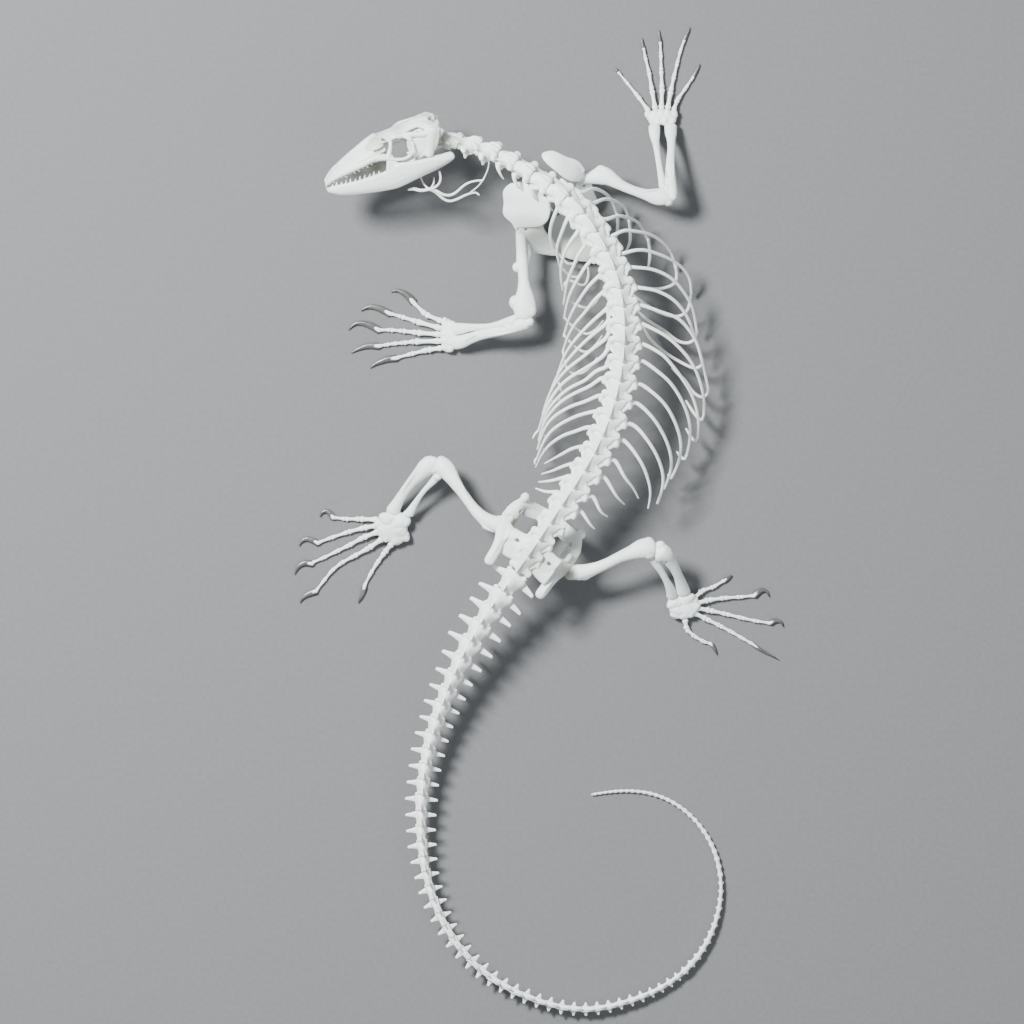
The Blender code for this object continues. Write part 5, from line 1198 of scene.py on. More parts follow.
# Lower jaw. Its right half hangs lower and closer in, as in the frame.
jawShape = {
    "mandible_left": {
        "rows": (
            (126.2, 1.5, 1.1, -2.8, 1.9), (122, 3.8, 2.2, -5.8, 2.8), (116, 6.2, 2.6, -9.2, 2.8),
            (107, 9.0, 2.9, -12.2, 2.0), (98, 11.6, 3.1, -14.4, 1.2), (84, 14.7, 3.2, -17.6, 0.6),
            (70, 17.4, 3.3, -20.4, 0.8), (60, 19.2, 3.3, -21.6, 2.4), (50, 20.8, 3.4, -20.8, 4.6),
            (41, 21.8, 3.5, -19.8, 2.0), (30, 22.8, 3.7, -18.8, -0.4), (20, 23.4, 4.1, -18.4, -2.0),
            (12, 23.2, 4.2, -17.8, -3.4), (4, 22.4, 4.1, -17.0, -4.8), (-2.0, 21.4, 3.7, -15.6, -6.2),
        ),
        "peak": ((20.2, 57, -1), (19.8, 56.4, 5), (18.8, 55.4, 11.6), (17.8, 54.2, 17.6)),
        "teeth": ((3.2, 122.4, 2.2), (9.2, 108, 1.4), (13.2, 92, 0.2), (16.8, 70, 0.2)),
    },
    "mandible_right": {
        "rows": (
            (126.2, 1.5, 1.1, -2.8, 1.9), (122, 3.8, 2.2, -5.8, 3.0), (116, 6.0, 2.6, -9.2, 3.6),
            (107, 8.6, 2.9, -12.8, 3.2), (98, 10.6, 3.1, -15.4, 2.6), (84, 12.9, 3.2, -19.8, 1.2),
            (70, 14.4, 3.3, -23.2, -0.8), (58, 14.6, 3.3, -25.2, -4.4), (48, 14.5, 3.3, -25.8, -9.4),
            (40, 15.6, 3.4, -25.2, -8.6), (30, 18.6, 3.6, -22.6, -5.0), (20, 22.8, 4.0, -18.8, -2.6),
            (12, 23.2, 4.1, -17.8, -3.6), (4, 22.4, 4.0, -17.0, -4.8), (-2.0, 21.4, 3.6, -15.6, -6.2),
        ),
        "peak": ((14.8, 60, -10), (14.8, 59.6, -6), (14.4, 58.4, -3.2), (13.6, 56.6, -1.8)),
        "teeth": ((3.0, 122.4, 2.8), (8.6, 108, 2.8), (11.8, 92, 2.0), (14.0, 73, -0.4)),
    },
    "voxel": 0.5, "smooth": 5, "faces": 36000, "ripple": 0.2, "rings": 44,
}


def jawSection(side, y, x, half, low, high):
    # Flat outer face above a long ridge, drawn in below it.
    spots = ((0.55, 1.0), (0.95, 0.78), (1.05, 0.42), (1.12, 0.08), (0.95, -0.35), (0.35, -0.8), (-0.25, -1.0),
             (-0.75, -0.72), (-0.92, -0.2),
             (-0.85, 0.35), (-0.62, 0.8), (-0.1, 1.0))
    middle, tall = (low + high) / 2, (high - low) / 2
    ring = [Vector((side * (x + half * a), y, middle + tall * b)) for a, b in spots]
    return ring if side > 0 else ring[::-1]


def jawPart(name, side):
    shape = jawShape[name]
    heap = newHeap()
    rows = resample(shape["rows"], jawShape["rings"])
    skin(heap, [jawSection(side, *row) for row in rows])
    tube(heap, [(side * x, y, z) for x, y, z in shape["peak"]], [1.9, 1.8, 1.6, 0.9], 14, [4.6, 3.6, 2.6, 1.5],
         (0, 1, 0), count=14)
    tube(heap, [(side * 23.6, 14, -7), (side * 22.6, 5, -10), (side * 21.6, -1.4, -10.8)], [4.8, 5.0, 4.6], 16, 0.9,
         count=10, blunt=0.6)
    tube(heap, [(side * 21.0, 24, -9), (side * 19.6, 17, -9.6), (side * 18.4, 12, -9.0)], [2.6, 3.0, 2.2], 12, 0.8,
         count=8)
    # Tooth-bearing edge and the seam line along the outer face.
    tube(heap, [(side * (x - 0.4), y, z - 1.4) for x, y, z in shape["teeth"]], [2.2, 2.6, 2.6, 2.4], 12, 0.8,
         count=18)
    cutters = newHeap()
    for y, z in ((117, -2.4), (110, -3.0), (102, -3.4), (94, -3.8), (86, -4.4), (78, -4.8)):
        row = rows[int(np.argmin([abs(r[0] - y) for r in rows]))]
        blob(cutters, (side * (row[1] + row[2] * 1.06), y, z if side < 0 else z - 2), (0.9, 0.6, 0.5), None, 10)
    groove = [(side * (float(np.interp(y, [r[0] for r in rows[::-1]], [r[1] + r[2] * 1.08 for r in rows[::-1]]))
                       + 0.55), y, z)
              for y, z in ((76, -7), (66, -8.6), (56, -9.0), (46, -8.6), (36, -8.8))]
    tube(cutters, groove, [0.3, 0.75, 0.85, 0.75, 0.3], 10, 1.2, count=16)
    return sculpt(name, heap, jawShape, cutters)


for side, name, title in ((-1, "mandible_left", "jaw_left"), (1, "mandible_right", "jaw_right")):
    part = jawPart(name, side)
    row = teeth([(side * x, y, z) for x, y, z in jawShape[name]["teeth"]], 11, 4.0, 1, side * 0.7)
    piece(title, [inHead((*part, hollowness(*part)))], name)
    piece(title + "_teeth", [inHead(direct(row))], name, "boneTooth")
print("jaws ready")

# Hyoid: thin rods under the throat.
hyoidHeight = 78
hyoidRods = (
    (
        ((409, 190.4, -2), (414, 189.6, -1.6), (420, 191, -1), (427, 190.4, 0), (433, 189, 0)),
        (1.0, 1.9, 1.7, 1.6, 2.0),
    ),
    (
        ((430, 190, 0), (436, 187.4, 4), (440, 182.6, 7), (440.6, 177, 8), (439.6, 172.4, 9)),
        (1.6, 1.3, 1.2, 1.15, 1.0),
    ),
    (((421, 178, -7), (422.6, 182, -5), (426, 187, -2), (430, 190, 0)), (0.7, 0.8, 0.9, 1.1)),
    (((434, 178.4, -3), (434, 183, -2), (431.4, 188.6, 0)), (0.7, 0.9, 1.1)),
    (
        (
            (430, 190, 0), (436, 191.4, 0), (443, 195, -1), (451, 195.6, -2), (457, 192.4, -2), (463, 187, -1),
            (470, 183, 0), (477, 181.4, 1), (483, 181, 2),
        ),
        (1.8, 1.6, 1.4, 1.4, 1.3, 1.2, 1.1, 1.0, 1.0),
    ),
    (((483, 181, 2), (485.6, 175.6, 4), (488, 169.4, 5), (489, 163, 6)), (0.9, 0.7, 0.6, 0.55)),
    (
        (
            (430, 190, 0), (436, 193, -2), (441, 197.4, -4), (449, 201.6, -6), (457, 199.8, -7), (465, 196, -7),
            (472, 193.6, -7), (476, 193.4, -6.5), (479, 195.4, -6),
        ),
        (1.6, 1.5, 1.4, 1.3, 1.25, 1.2, 1.1, 1.0, 0.8),
    ),
    (((471, 192.6, -6), (475, 189.6, -3), (479, 186, 0), (482.4, 181.4, 2)), (0.8, 0.7, 0.7, 0.8)),
)
piece("hyoid_rods", [strand([(x, y, hyoidHeight + z) for x, y, z in rows], thick, 10) for rows, thick in hyoidRods],
      "hyoid", "gristleRib")
print("hyoid ready")

# Shoulder plates and breastbone.
shoulderShape = {
    "left": {
        "blade": (
            ((511.4, 184, 71), (523, 182.6, 75.5), (536, 190.4, 79)),
            ((503.8, 191.4, 66.6), (525, 192.6, 75.6), (546.6, 199, 79.6)),
            ((504.4, 204, 63.2), (526, 204, 72.4), (550.6, 205.6, 78)),
            ((503.8, 214.6, 60), (527, 213.6, 68.6), (549.4, 216, 74)),
            ((512.4, 222.4, 57), (528, 220.6, 64), (546.6, 222.4, 69)),
            ((516.4, 227.6, 54), (528, 227.6, 58), (540.6, 226.4, 62)),
        ),
        "coracoid": (
            ((517.6, 224, 53), (529, 224, 57), (542.6, 223.4, 60)),
            ((517.6, 231, 50), (530, 231, 51), (545, 231, 48)),
            ((518.4, 238.6, 44), (531, 238.4, 41), (552, 239, 34)), ((522, 246, 34), (538, 246, 29), (557, 247, 23)),
            ((534, 252, 22), (546, 254.6, 17), (560, 256, 14)),
        ),
        "thick": ((521.6, 227.6, 50, 4.4, 4.4, 5.0), (527, 234, 42, 4.6, 5.0, 5.4)),
        "rim": (
            (512, 184.4, 71), (504.6, 191.6, 66.6), (505, 204, 63.2), (504.6, 214.4, 60), (512.8, 222.2, 57),
            (516.6, 228, 53.6),
        ),
        "holes": ((526, 229.6, 53, 1.7, 1.5, 9), (521, 251, 28, 5, 3.6, 9)),
    },
    "right": {
        "blade": (
            ((541.6, 155.4, 66.6), (541.8, 157.6, 68), (543.4, 160.6, 69)),
            ((550.6, 152.4, 67), (549.4, 158, 70), (549, 166.4, 71)),
            ((559, 154.8, 66), (558, 163.6, 70), (557, 173, 70)),
            ((568, 159, 63), (567, 168.4, 66), (565, 179.4, 66)),
            ((577, 162.4, 58.6), (576, 172, 60), (572.6, 182.4, 61)),
            ((583.4, 171.4, 52), (582.6, 177, 52), (579.4, 182.4, 54)),
        ),
        "coracoid": (
            ((578, 178, 50), (585, 178, 47), (590.6, 178, 44)), ((576, 187, 40), (585, 189, 37), (592.6, 188, 34)),
            ((577, 196, 27), (587.6, 198, 25), (596, 197, 22)), ((583, 204, 16), (591.6, 206, 14), (599, 202, 15)),
        ),
        "thick": ((580.6, 177.4, 47, 4.4, 4.6, 6), (583, 182, 42, 5.0, 4.8, 6)),
        "rim": (
            (543, 154.4, 66.6), (551, 152.6, 67), (559, 155.2, 66), (568, 159.4, 63), (577, 163, 58.6),
            (582.8, 171, 53),
        ),
        "holes": ((584, 186, 40, 1.6, 1.4, 9),),
    },
    "voxel": 0.55, "smooth": 5, "faces": 40000, "ripple": 0.25,
}


def plateGrid(heap, rows, thick, count=(18, 12)):
    sheet(heap, [[plan(*spot) for spot in row] for row in rows], thick, *count)


for title in ("left", "right"):
    shape = shoulderShape[title]
    heap = newHeap()
    plateGrid(heap, shape["blade"], 2.6, (26, 16))
    plateGrid(heap, shape["coracoid"], 3.4)
    blobs(heap, shape["thick"])
    tube(heap, [plan(*row) for row in shape["rim"]], [1.2, 1.5, 1.5, 1.6, 1.9, 2.4], 12, 0.9, count=20)
    cutters = newHeap()
    blobs(cutters, shape["holes"])
    plate = sculpt("shoulder_" + title, heap, shoulderShape, cutters)
    piece("shoulder_plate_" + title, [plate], "shoulder_" + title, finish="boneLimb")

sternumShape = {"voxel": 0.55, "smooth": 5, "faces": 26000, "ripple": 0.35}
heap = newHeap()
plateGrid(heap, (((552, 218.6, 12.4), (568, 211, 13), (581, 207, 13), (592.6, 213.6, 12.4)),
                 ((549, 227, 12), (568, 226, 13.4), (584, 225, 13.6), (599.6, 227, 12)),
                 ((551, 239, 12), (570, 239, 13.4), (588, 240, 13.6), (605.6, 241, 12)),
                 ((557, 250.6, 12), (575, 255, 13), (590, 256, 13), (605.4, 252, 12)),
                 ((564, 257.6, 12), (578, 261, 12.4), (589, 261.8, 12.4), (602, 260.6, 12))), 2.8)
for start, end in (((561, 230, 13.4), (573, 216, 14)), ((563, 243, 13.4), (579, 213, 14.4)),
                   ((602, 236, 13), (590, 219, 14))):
    tube(heap, [plan(*start), plan(*end)], [0.9, 0.6], 10, 0.8, count=8)
piece("sternum_plate", [sculpt("sternum", heap, sternumShape)], "sternum", "gristle")
print("shoulders ready")

# Limb bones: places along each with radius and height for width, then knobs, ridges and hollows.
limbShape = {
    "humerus_right": {
        "shaft": (
            (577.6, 178.6, 44, 4.4, 0.9), (583, 178.6, 44, 4.9, 0.9), (590, 178.4, 44, 5.8, 0.86),
            (597, 176.8, 44.5, 8.4, 0.68), (603, 176, 45, 9.8, 0.56), (612, 180, 46, 7.0, 0.7),
            (622, 186, 46, 5.1, 0.9), (635, 191.5, 46, 4.7, 0.95), (646, 195, 46, 5.6, 0.82),
            (656, 197, 46, 8.4, 0.62), (664, 197, 46, 8.8, 0.6), (669, 197, 46, 6.0, 0.7),
        ),
        "knobs": ((581, 178.4, 44, 4.6, 5.0, 5.4), (668, 190.6, 44, 4.6, 5.0, 5.6), (668, 202, 44, 5.2, 4.6, 5.4)),
        "ridges": (
            ((594, 172, 46), (600, 167, 48), (606, 169.6, 48), (613, 177, 48.6)),
            ((657, 190, 50), (651, 190.6, 50.6), (641, 192, 50.4)),
        ),
        "hollows": ((602, 179, 56.4, 7.6, 4.6, 4.6),),
    },
    "humerus_left": {
        "shaft": (
            (520.6, 227.6, 46, 4.6, 0.85), (520.8, 236, 45.4, 5.2, 0.85), (521.2, 246, 45, 5.2, 0.85),
            (521.6, 254, 45, 5.4, 0.85), (522, 262, 45, 5.8, 0.85), (523, 271, 45, 5.2, 0.95),
            (523.6, 280, 45, 5.3, 0.95), (524.2, 288, 45, 6.6, 0.85), (524.6, 296, 45, 9.4, 0.7),
            (524.4, 305, 45, 11.8, 0.6), (524, 311.6, 45, 11.6, 0.6), (523, 316, 45, 8.6, 0.7),
        ),
        "knobs": (
            (521.4, 231, 46, 5.4, 5.0, 5.6), (514.6, 302.6, 43.6, 5.6, 7.0, 6.4), (531, 311, 44.6, 5.4, 6.4, 6.2),
            (516.4, 267.6, 45, 4.0, 5.0, 4.2),
        ),
        "ridges": (
            ((524, 238, 43), (527.6, 250, 41.4), (528, 261, 41.4), (525.6, 270, 43)),
            ((526, 240, 41), (529.6, 252, 39), (529.2, 264, 39)), ((532, 299, 46), (529, 290, 47), (526, 281, 47)),
        ),
    },
    "ulna_right": {
        "shaft": (
            (672, 194.6, 46, 5.6, 0.9), (671, 188, 44.6, 6.0, 0.85), (670.4, 178, 40.6, 5.4, 0.78),
            (670.2, 166, 35, 4.6, 0.75), (671, 152, 27.4, 3.9, 0.8), (671.2, 141, 20, 4.2, 0.8),
            (670.8, 133, 14, 6.2, 0.75), (670.6, 126.6, 10.4, 6.2, 0.75),
        ),
        "knobs": ((673, 197, 46.6, 4.2, 4.4, 5), (667, 188.6, 46, 3, 4, 4), (672, 127.6, 10, 5.4, 3.6, 4.4)),
        "ridges": (((672.6, 190, 48), (673, 178, 43.6), (673.4, 164, 37)),),
        "hollows": ((667.6, 170, 41.6, 1.8, 12, 3),),
    },
    "radius_right": {
        "shaft": (
            (662.6, 187, 44, 3.9, 0.9), (661.6, 181, 42, 3.6, 0.9), (659.8, 170, 36.4, 3.0, 0.9),
            (657.6, 156, 29, 2.9, 0.9), (655.8, 144, 21, 3.4, 0.8), (654.6, 135, 15, 5.4, 0.75),
            (654.2, 127, 10.6, 5.8, 0.75),
        ),
        "knobs": ((662.8, 186, 44, 3.7, 3, 4), (653, 130, 11, 4.8, 3.4, 4.2)),
        "ridges": (((658, 160, 33), (656.4, 148, 26), (655, 138, 20)),),
    },
    "ulna_left": {
        "shaft": (
            (526, 323.4, 44, 6.0, 0.85), (518, 325.4, 43.4, 6.6, 0.82), (508, 328.6, 41, 5.8, 0.8),
            (494, 332.2, 35, 5.2, 0.78), (481, 335, 28.4, 5.0, 0.75), (470, 338.6, 21.6, 5.6, 0.72),
            (461, 341.8, 15.4, 6.8, 0.7), (455, 343, 11.6, 6.8, 0.7),
        ),
        "knobs": (
            (529.4, 322, 44.4, 4.6, 4.8, 5.4), (512, 322.6, 44, 4.6, 3.8, 4.4), (457, 342.8, 11.4, 4.2, 6.8, 4.8),
        ),
        "ridges": (
            ((516, 331, 46), (502, 334, 42), (488, 336.6, 35)), ((476, 335, 31), (468, 339, 25), (461, 344, 19)),
        ),
        "hollows": ((498, 327.8, 42.6, 13, 1.8, 3),),
    },
    "radius_left": {
        "shaft": (
            (514, 319.6, 43.6, 4.2, 0.9), (508, 321.4, 42, 4.0, 0.9), (499, 324.4, 38.6, 3.5, 0.88),
            (488, 326.6, 33.4, 3.0, 0.88), (478, 327.2, 28.4, 3.2, 0.85), (469, 327.8, 22, 4.2, 0.8),
            (461, 328.6, 15.4, 5.8, 0.72), (455, 329, 11.6, 6.2, 0.72),
        ),
        "knobs": ((514.6, 319, 43.6, 3.6, 4.2, 4.4), (457, 328.8, 11.2, 4.0, 6.2, 4.6)),
        "ridges": (((484, 325, 33), (474, 325.4, 28), (464, 325.6, 20)),),
    },
    "femur_left": {
        "shaft": (
            (501, 525.4, 48, 8.8, 0.84), (490, 521.5, 48, 7.2, 0.86), (479, 514, 46, 6.1, 0.92),
            (470.5, 504, 44, 5.0, 0.96), (461, 491, 42, 5.1, 0.96), (453.5, 480, 40, 6.8, 0.9),
            (447, 470.6, 38, 9.2, 0.8), (441.6, 466, 37, 9.6, 0.8), (438.4, 465, 36.4, 8.4, 0.8),
        ),
        "knobs": (
            (499, 524, 48, 6.6, 8.8, 7.6), (441.6, 460.6, 36, 5.4, 4.8, 6.4), (442.6, 471.6, 35.6, 5.2, 5.6, 6.4),
            (488, 525.4, 44.5, 6.4, 5.2, 6),
        ),
        "ridges": (
            ((495, 532, 49), (487, 528.6, 50), (478, 520, 49)), ((455, 474, 46), (462, 486, 46.6), (469, 498, 48)),
        ),
    },
    "tibia_left": {
        "shaft": (
            (430.6, 463, 35, 8.4, 0.85), (426, 467.4, 34, 8.8, 0.82), (419, 474.6, 30.6, 6.9, 0.85),
            (411.5, 482.6, 25.6, 5.3, 0.9), (404, 492.4, 21, 4.7, 0.95), (397.6, 502.6, 16, 5.4, 0.9),
            (392.8, 511, 12, 7.0, 0.8),
        ),
        "knobs": (
            (430.4, 460.4, 35, 5.6, 4.8, 6.2), (434, 461.4, 36, 4.6, 5.0, 6.0), (432.6, 469.4, 34.4, 5.0, 4.8, 5.6),
            (393.4, 511, 11.6, 7.2, 4.4, 4.8),
        ),
        "ridges": (((424, 462.6, 40), (415, 473.6, 35.4), (406, 486, 28.4), (400, 497, 22.6)),),
    },
    "fibula_left": {
        "shaft": (
            (438, 475.4, 33, 4.2, 0.85), (433.6, 480.8, 30, 3.6, 0.85), (427, 487.6, 27, 2.6, 0.9),
            (421, 495, 23.4, 2.5, 0.9), (415, 504, 18.4, 3.2, 0.85), (409.4, 513.6, 13, 5.0, 0.8),
        ),
        "knobs": ((437.6, 476.8, 32.6, 4.8, 4.0, 4.8), (408.4, 513.6, 12.4, 5.4, 4.0, 4.4)),
        "ridges": (((429, 484.6, 29), (422.6, 492, 25.6), (417, 500, 21.4)),),
    },
    "femur_right": {
        "shaft": (
            (569, 571.8, 48, 8.2, 0.84), (578, 572, 48.4, 7.8, 0.84), (590, 570, 49.5, 6.7, 0.9),
            (600, 566.5, 51.5, 5.7, 0.95), (609, 562.5, 53.5, 5.4, 0.95), (620, 557, 55.5, 5.6, 0.95),
            (631.5, 552.5, 57, 7.2, 0.88), (641, 549, 58, 9.8, 0.78), (648, 547.6, 58, 10.2, 0.78),
            (652, 547.2, 58, 8.4, 0.8),
        ),
        "knobs": (
            (570, 571.8, 48, 6.8, 8.4, 7.6), (648.6, 542, 57.6, 5.6, 5.2, 6.4), (648.6, 554, 57, 6.0, 5.4, 6.4),
            (584, 575.4, 45.5, 7, 5, 6),
        ),
        "ridges": (
            ((578, 579.6, 49), (588, 577, 50), (600, 571.6, 52.4)),
            ((634, 546.4, 62.6), (623, 552, 60.6), (611, 558.4, 58.4)),
        ),
    },
    "tibia_right": {
        "shaft": (
            (660.6, 551.4, 57, 9.0, 0.85), (664.4, 554, 54.6, 8.8, 0.84), (669, 559.8, 48.4, 6.5, 0.9),
            (673.8, 567.4, 41, 5.0, 0.95), (678.6, 577, 30, 4.8, 0.95), (681.4, 585, 21, 6.0, 0.9),
            (683, 591.6, 14.6, 7.4, 0.8),
        ),
        "knobs": (
            (660.4, 545.6, 57, 5.4, 5.0, 6), (658, 551, 56, 4.6, 6.0, 6.0), (659.4, 557, 55, 5.0, 5.0, 5.8),
            (683, 591.6, 14, 7.6, 4.4, 4.8),
        ),
        "ridges": (((668.6, 549.6, 57), (673.6, 557.6, 50), (678, 567, 41), (682, 578, 30)),),
        "hollows": ((665.6, 563, 54.4, 2, 6, 3),),
    },
    "fibula_right": {
        "shaft": (
            (653.4, 559.4, 50, 4.6, 0.85), (657, 565, 46, 4.2, 0.85), (661.6, 572, 40, 3.4, 0.9),
            (666.4, 581, 31.6, 3.4, 0.9), (670.4, 590, 22, 4.6, 0.85), (671.6, 595.4, 16, 5.4, 0.85),
        ),
        "knobs": ((654, 560, 49.4, 4.6, 4.2, 4.8), (671.6, 595, 15, 5.6, 4.0, 4.4)),
        "ridges": (((659, 566, 47), (664, 575, 39.6), (668.6, 584.6, 30)),),
    },
}
limbFineness = {"voxel": 0.5, "smooth": 5, "faces": 17000, "ripple": 0.24}


def limbBone(name):
    shape = limbShape[name]
    heap = newHeap()
    rows = shape["shaft"]
    tube(heap, [plan(*row[:3]) for row in rows], [row[3] for row in rows], 20, [row[4] for row in rows],
         count=5 * len(rows), blunt=0.5)
    blobs(heap, shape["knobs"])
    for ridge in shape["ridges"]:
        tube(heap, [plan(*spot) for spot in ridge], [0.8] + [1.5] * (len(ridge) - 2) + [0.7], 10, 0.9,
             count=4 * len(ridge))
    cutters = None
    if "hollows" in shape:
        cutters = newHeap()
        blobs(cutters, shape["hollows"])
    return sculpt(name, heap, limbFineness, cutters)


for name in limbShape:
    piece(name + "_bone", [limbBone(name)], name, finish="boneLimb")
print("limbs ready")

# Pelvis, in axes of its own: x out to the side, y ahead, z up.
hipLean = math.radians(5)
sacrumFrame = spineFrame(jointArcs[presacralCount] + 4)
hipSide = sacrumFrame[2].cross(upwards).normalized()
hipTop = hipSide.cross(sacrumFrame[2])
hipFrame = (sacrumFrame[0] - hipSide * 1.5, hipSide * math.cos(hipLean) - hipTop * math.sin(hipLean), sacrumFrame[2],
            hipTop * math.cos(hipLean) + hipSide * math.sin(hipLean))
pelvisShape = {"voxel": 0.6, "smooth": 5, "faces": 48000, "ripple": 0.26}


def pelvisHalf(side):
    heap = newHeap()

    def line(*rows):
        return [local(hipFrame, side * x, y, z) for x, y, z in rows]

    tube(heap, line((37, -3, -24), (35.4, -9, -15), (33, -18, -5), (31.6, -27, 0), (31, -35, 2), (30.6, -41, 2.4)),
         [9.6, 7.8, 5.8, 5.2, 5.4, 5.2],
         18, 0.8, tuple(hipFrame[3]), count=30, blunt=0.9)
    tube(heap, line((36, -4, -24), (35.5, 9, -27.6), (33, 19, -32), (26, 22.6, -37.4), (17, 23.8, -43),
                    (8, 24.4, -47), (0.4, 25, -49.6)),
         [9.0, 7.8, 6.2, 5.4, 4.8, 4.6, 4.8], 18, 0.62, tuple(hipFrame[3]), count=30)
    sheet(heap, [line((42.6, 3, -26), (36, 6, -25), (29, 6, -24)),
                 line((43.4, 10, -27), (36, 12, -27), (28, 12, -29)),
                 line((41.4, 17, -29), (35, 19, -30), (27, 19, -34)),
                 line((37.6, 24, -31), (33, 25.6, -32), (28, 24, -36))], 3.6, 12, 10)
    sheet(heap, [line((31, 21, -35), (18, 23, -42), (6, 24, -47)), line((31, 17, -33), (18, 17, -39), (6, 19, -44.6)),
                 line((31, 13, -31), (22, 11.6, -37), (9, 15, -43))], 3.8, 14, 8)
    inner = 24 if side < 0 else 19
    sheet(heap, [line((36, 2, -16), (32, 0, -12), (inner + 2, -2, -8)),
                 line((36, -6, -14), (31, -8, -8), (inner + 3, -9, -3)),
                 line((35, -16, -6), (31.6, -17, -3), (28.6, -18, -1.4)),
                 line((33.4, -24, -1), (31, -25, 0), (29, -26, 0.6))], 3.6, 12, 9)
    tube(heap, line((36, -5, -25), (29, -12, -33), (20, -18, -41), (10, -22.5, -47.4), (0.4, -24, -50.4)),
         [7.6, 6.2, 6.8, 7.6, 7.8], 18, 0.46,
         tuple(hipFrame[3]), count=24)
    blob(heap, local(hipFrame, side * 33.6, 28.0, -31), (4.8, 5.0, 4.8), hipFrame[1:])
    blob(heap, local(hipFrame, side * 38, -3, -24), (7.0, 9.4, 9.0), hipFrame[1:])
    blob(heap, local(hipFrame, side * 35, 3, -14), (3.4, 5.4, 3.6), hipFrame[1:])
    tube(heap, line((33.6, -14, -4), (32.4, -26, 4), (31.8, -38, 6)), [1.2, 1.8, 1.2], 10, 1.0, count=12)
    tube(heap, line((2.2, 24, -48), (2.4, 10, -50.4), (2.4, -8, -51), (2.2, -24, -50)), [2.4, 1.8, 1.8, 2.6], 12, 0.8,
         count=16)
    cutters = newHeap()
    blob(cutters, local(hipFrame, side * 48.4, -3, -24), (7.0, 7.0, 7.0), hipFrame[1:])
    blob(cutters, local(hipFrame, side * 30, 14, -27.4), (1.5, 2.0, 9), hipFrame[1:])
    return sculpt("pelvis", heap, pelvisShape, cutters)


for side, name in ((-1, "pelvis_left"), (1, "pelvis_right")):
    piece(name + "_bone", [pelvisHalf(side)], name)
print("pelvis ready")

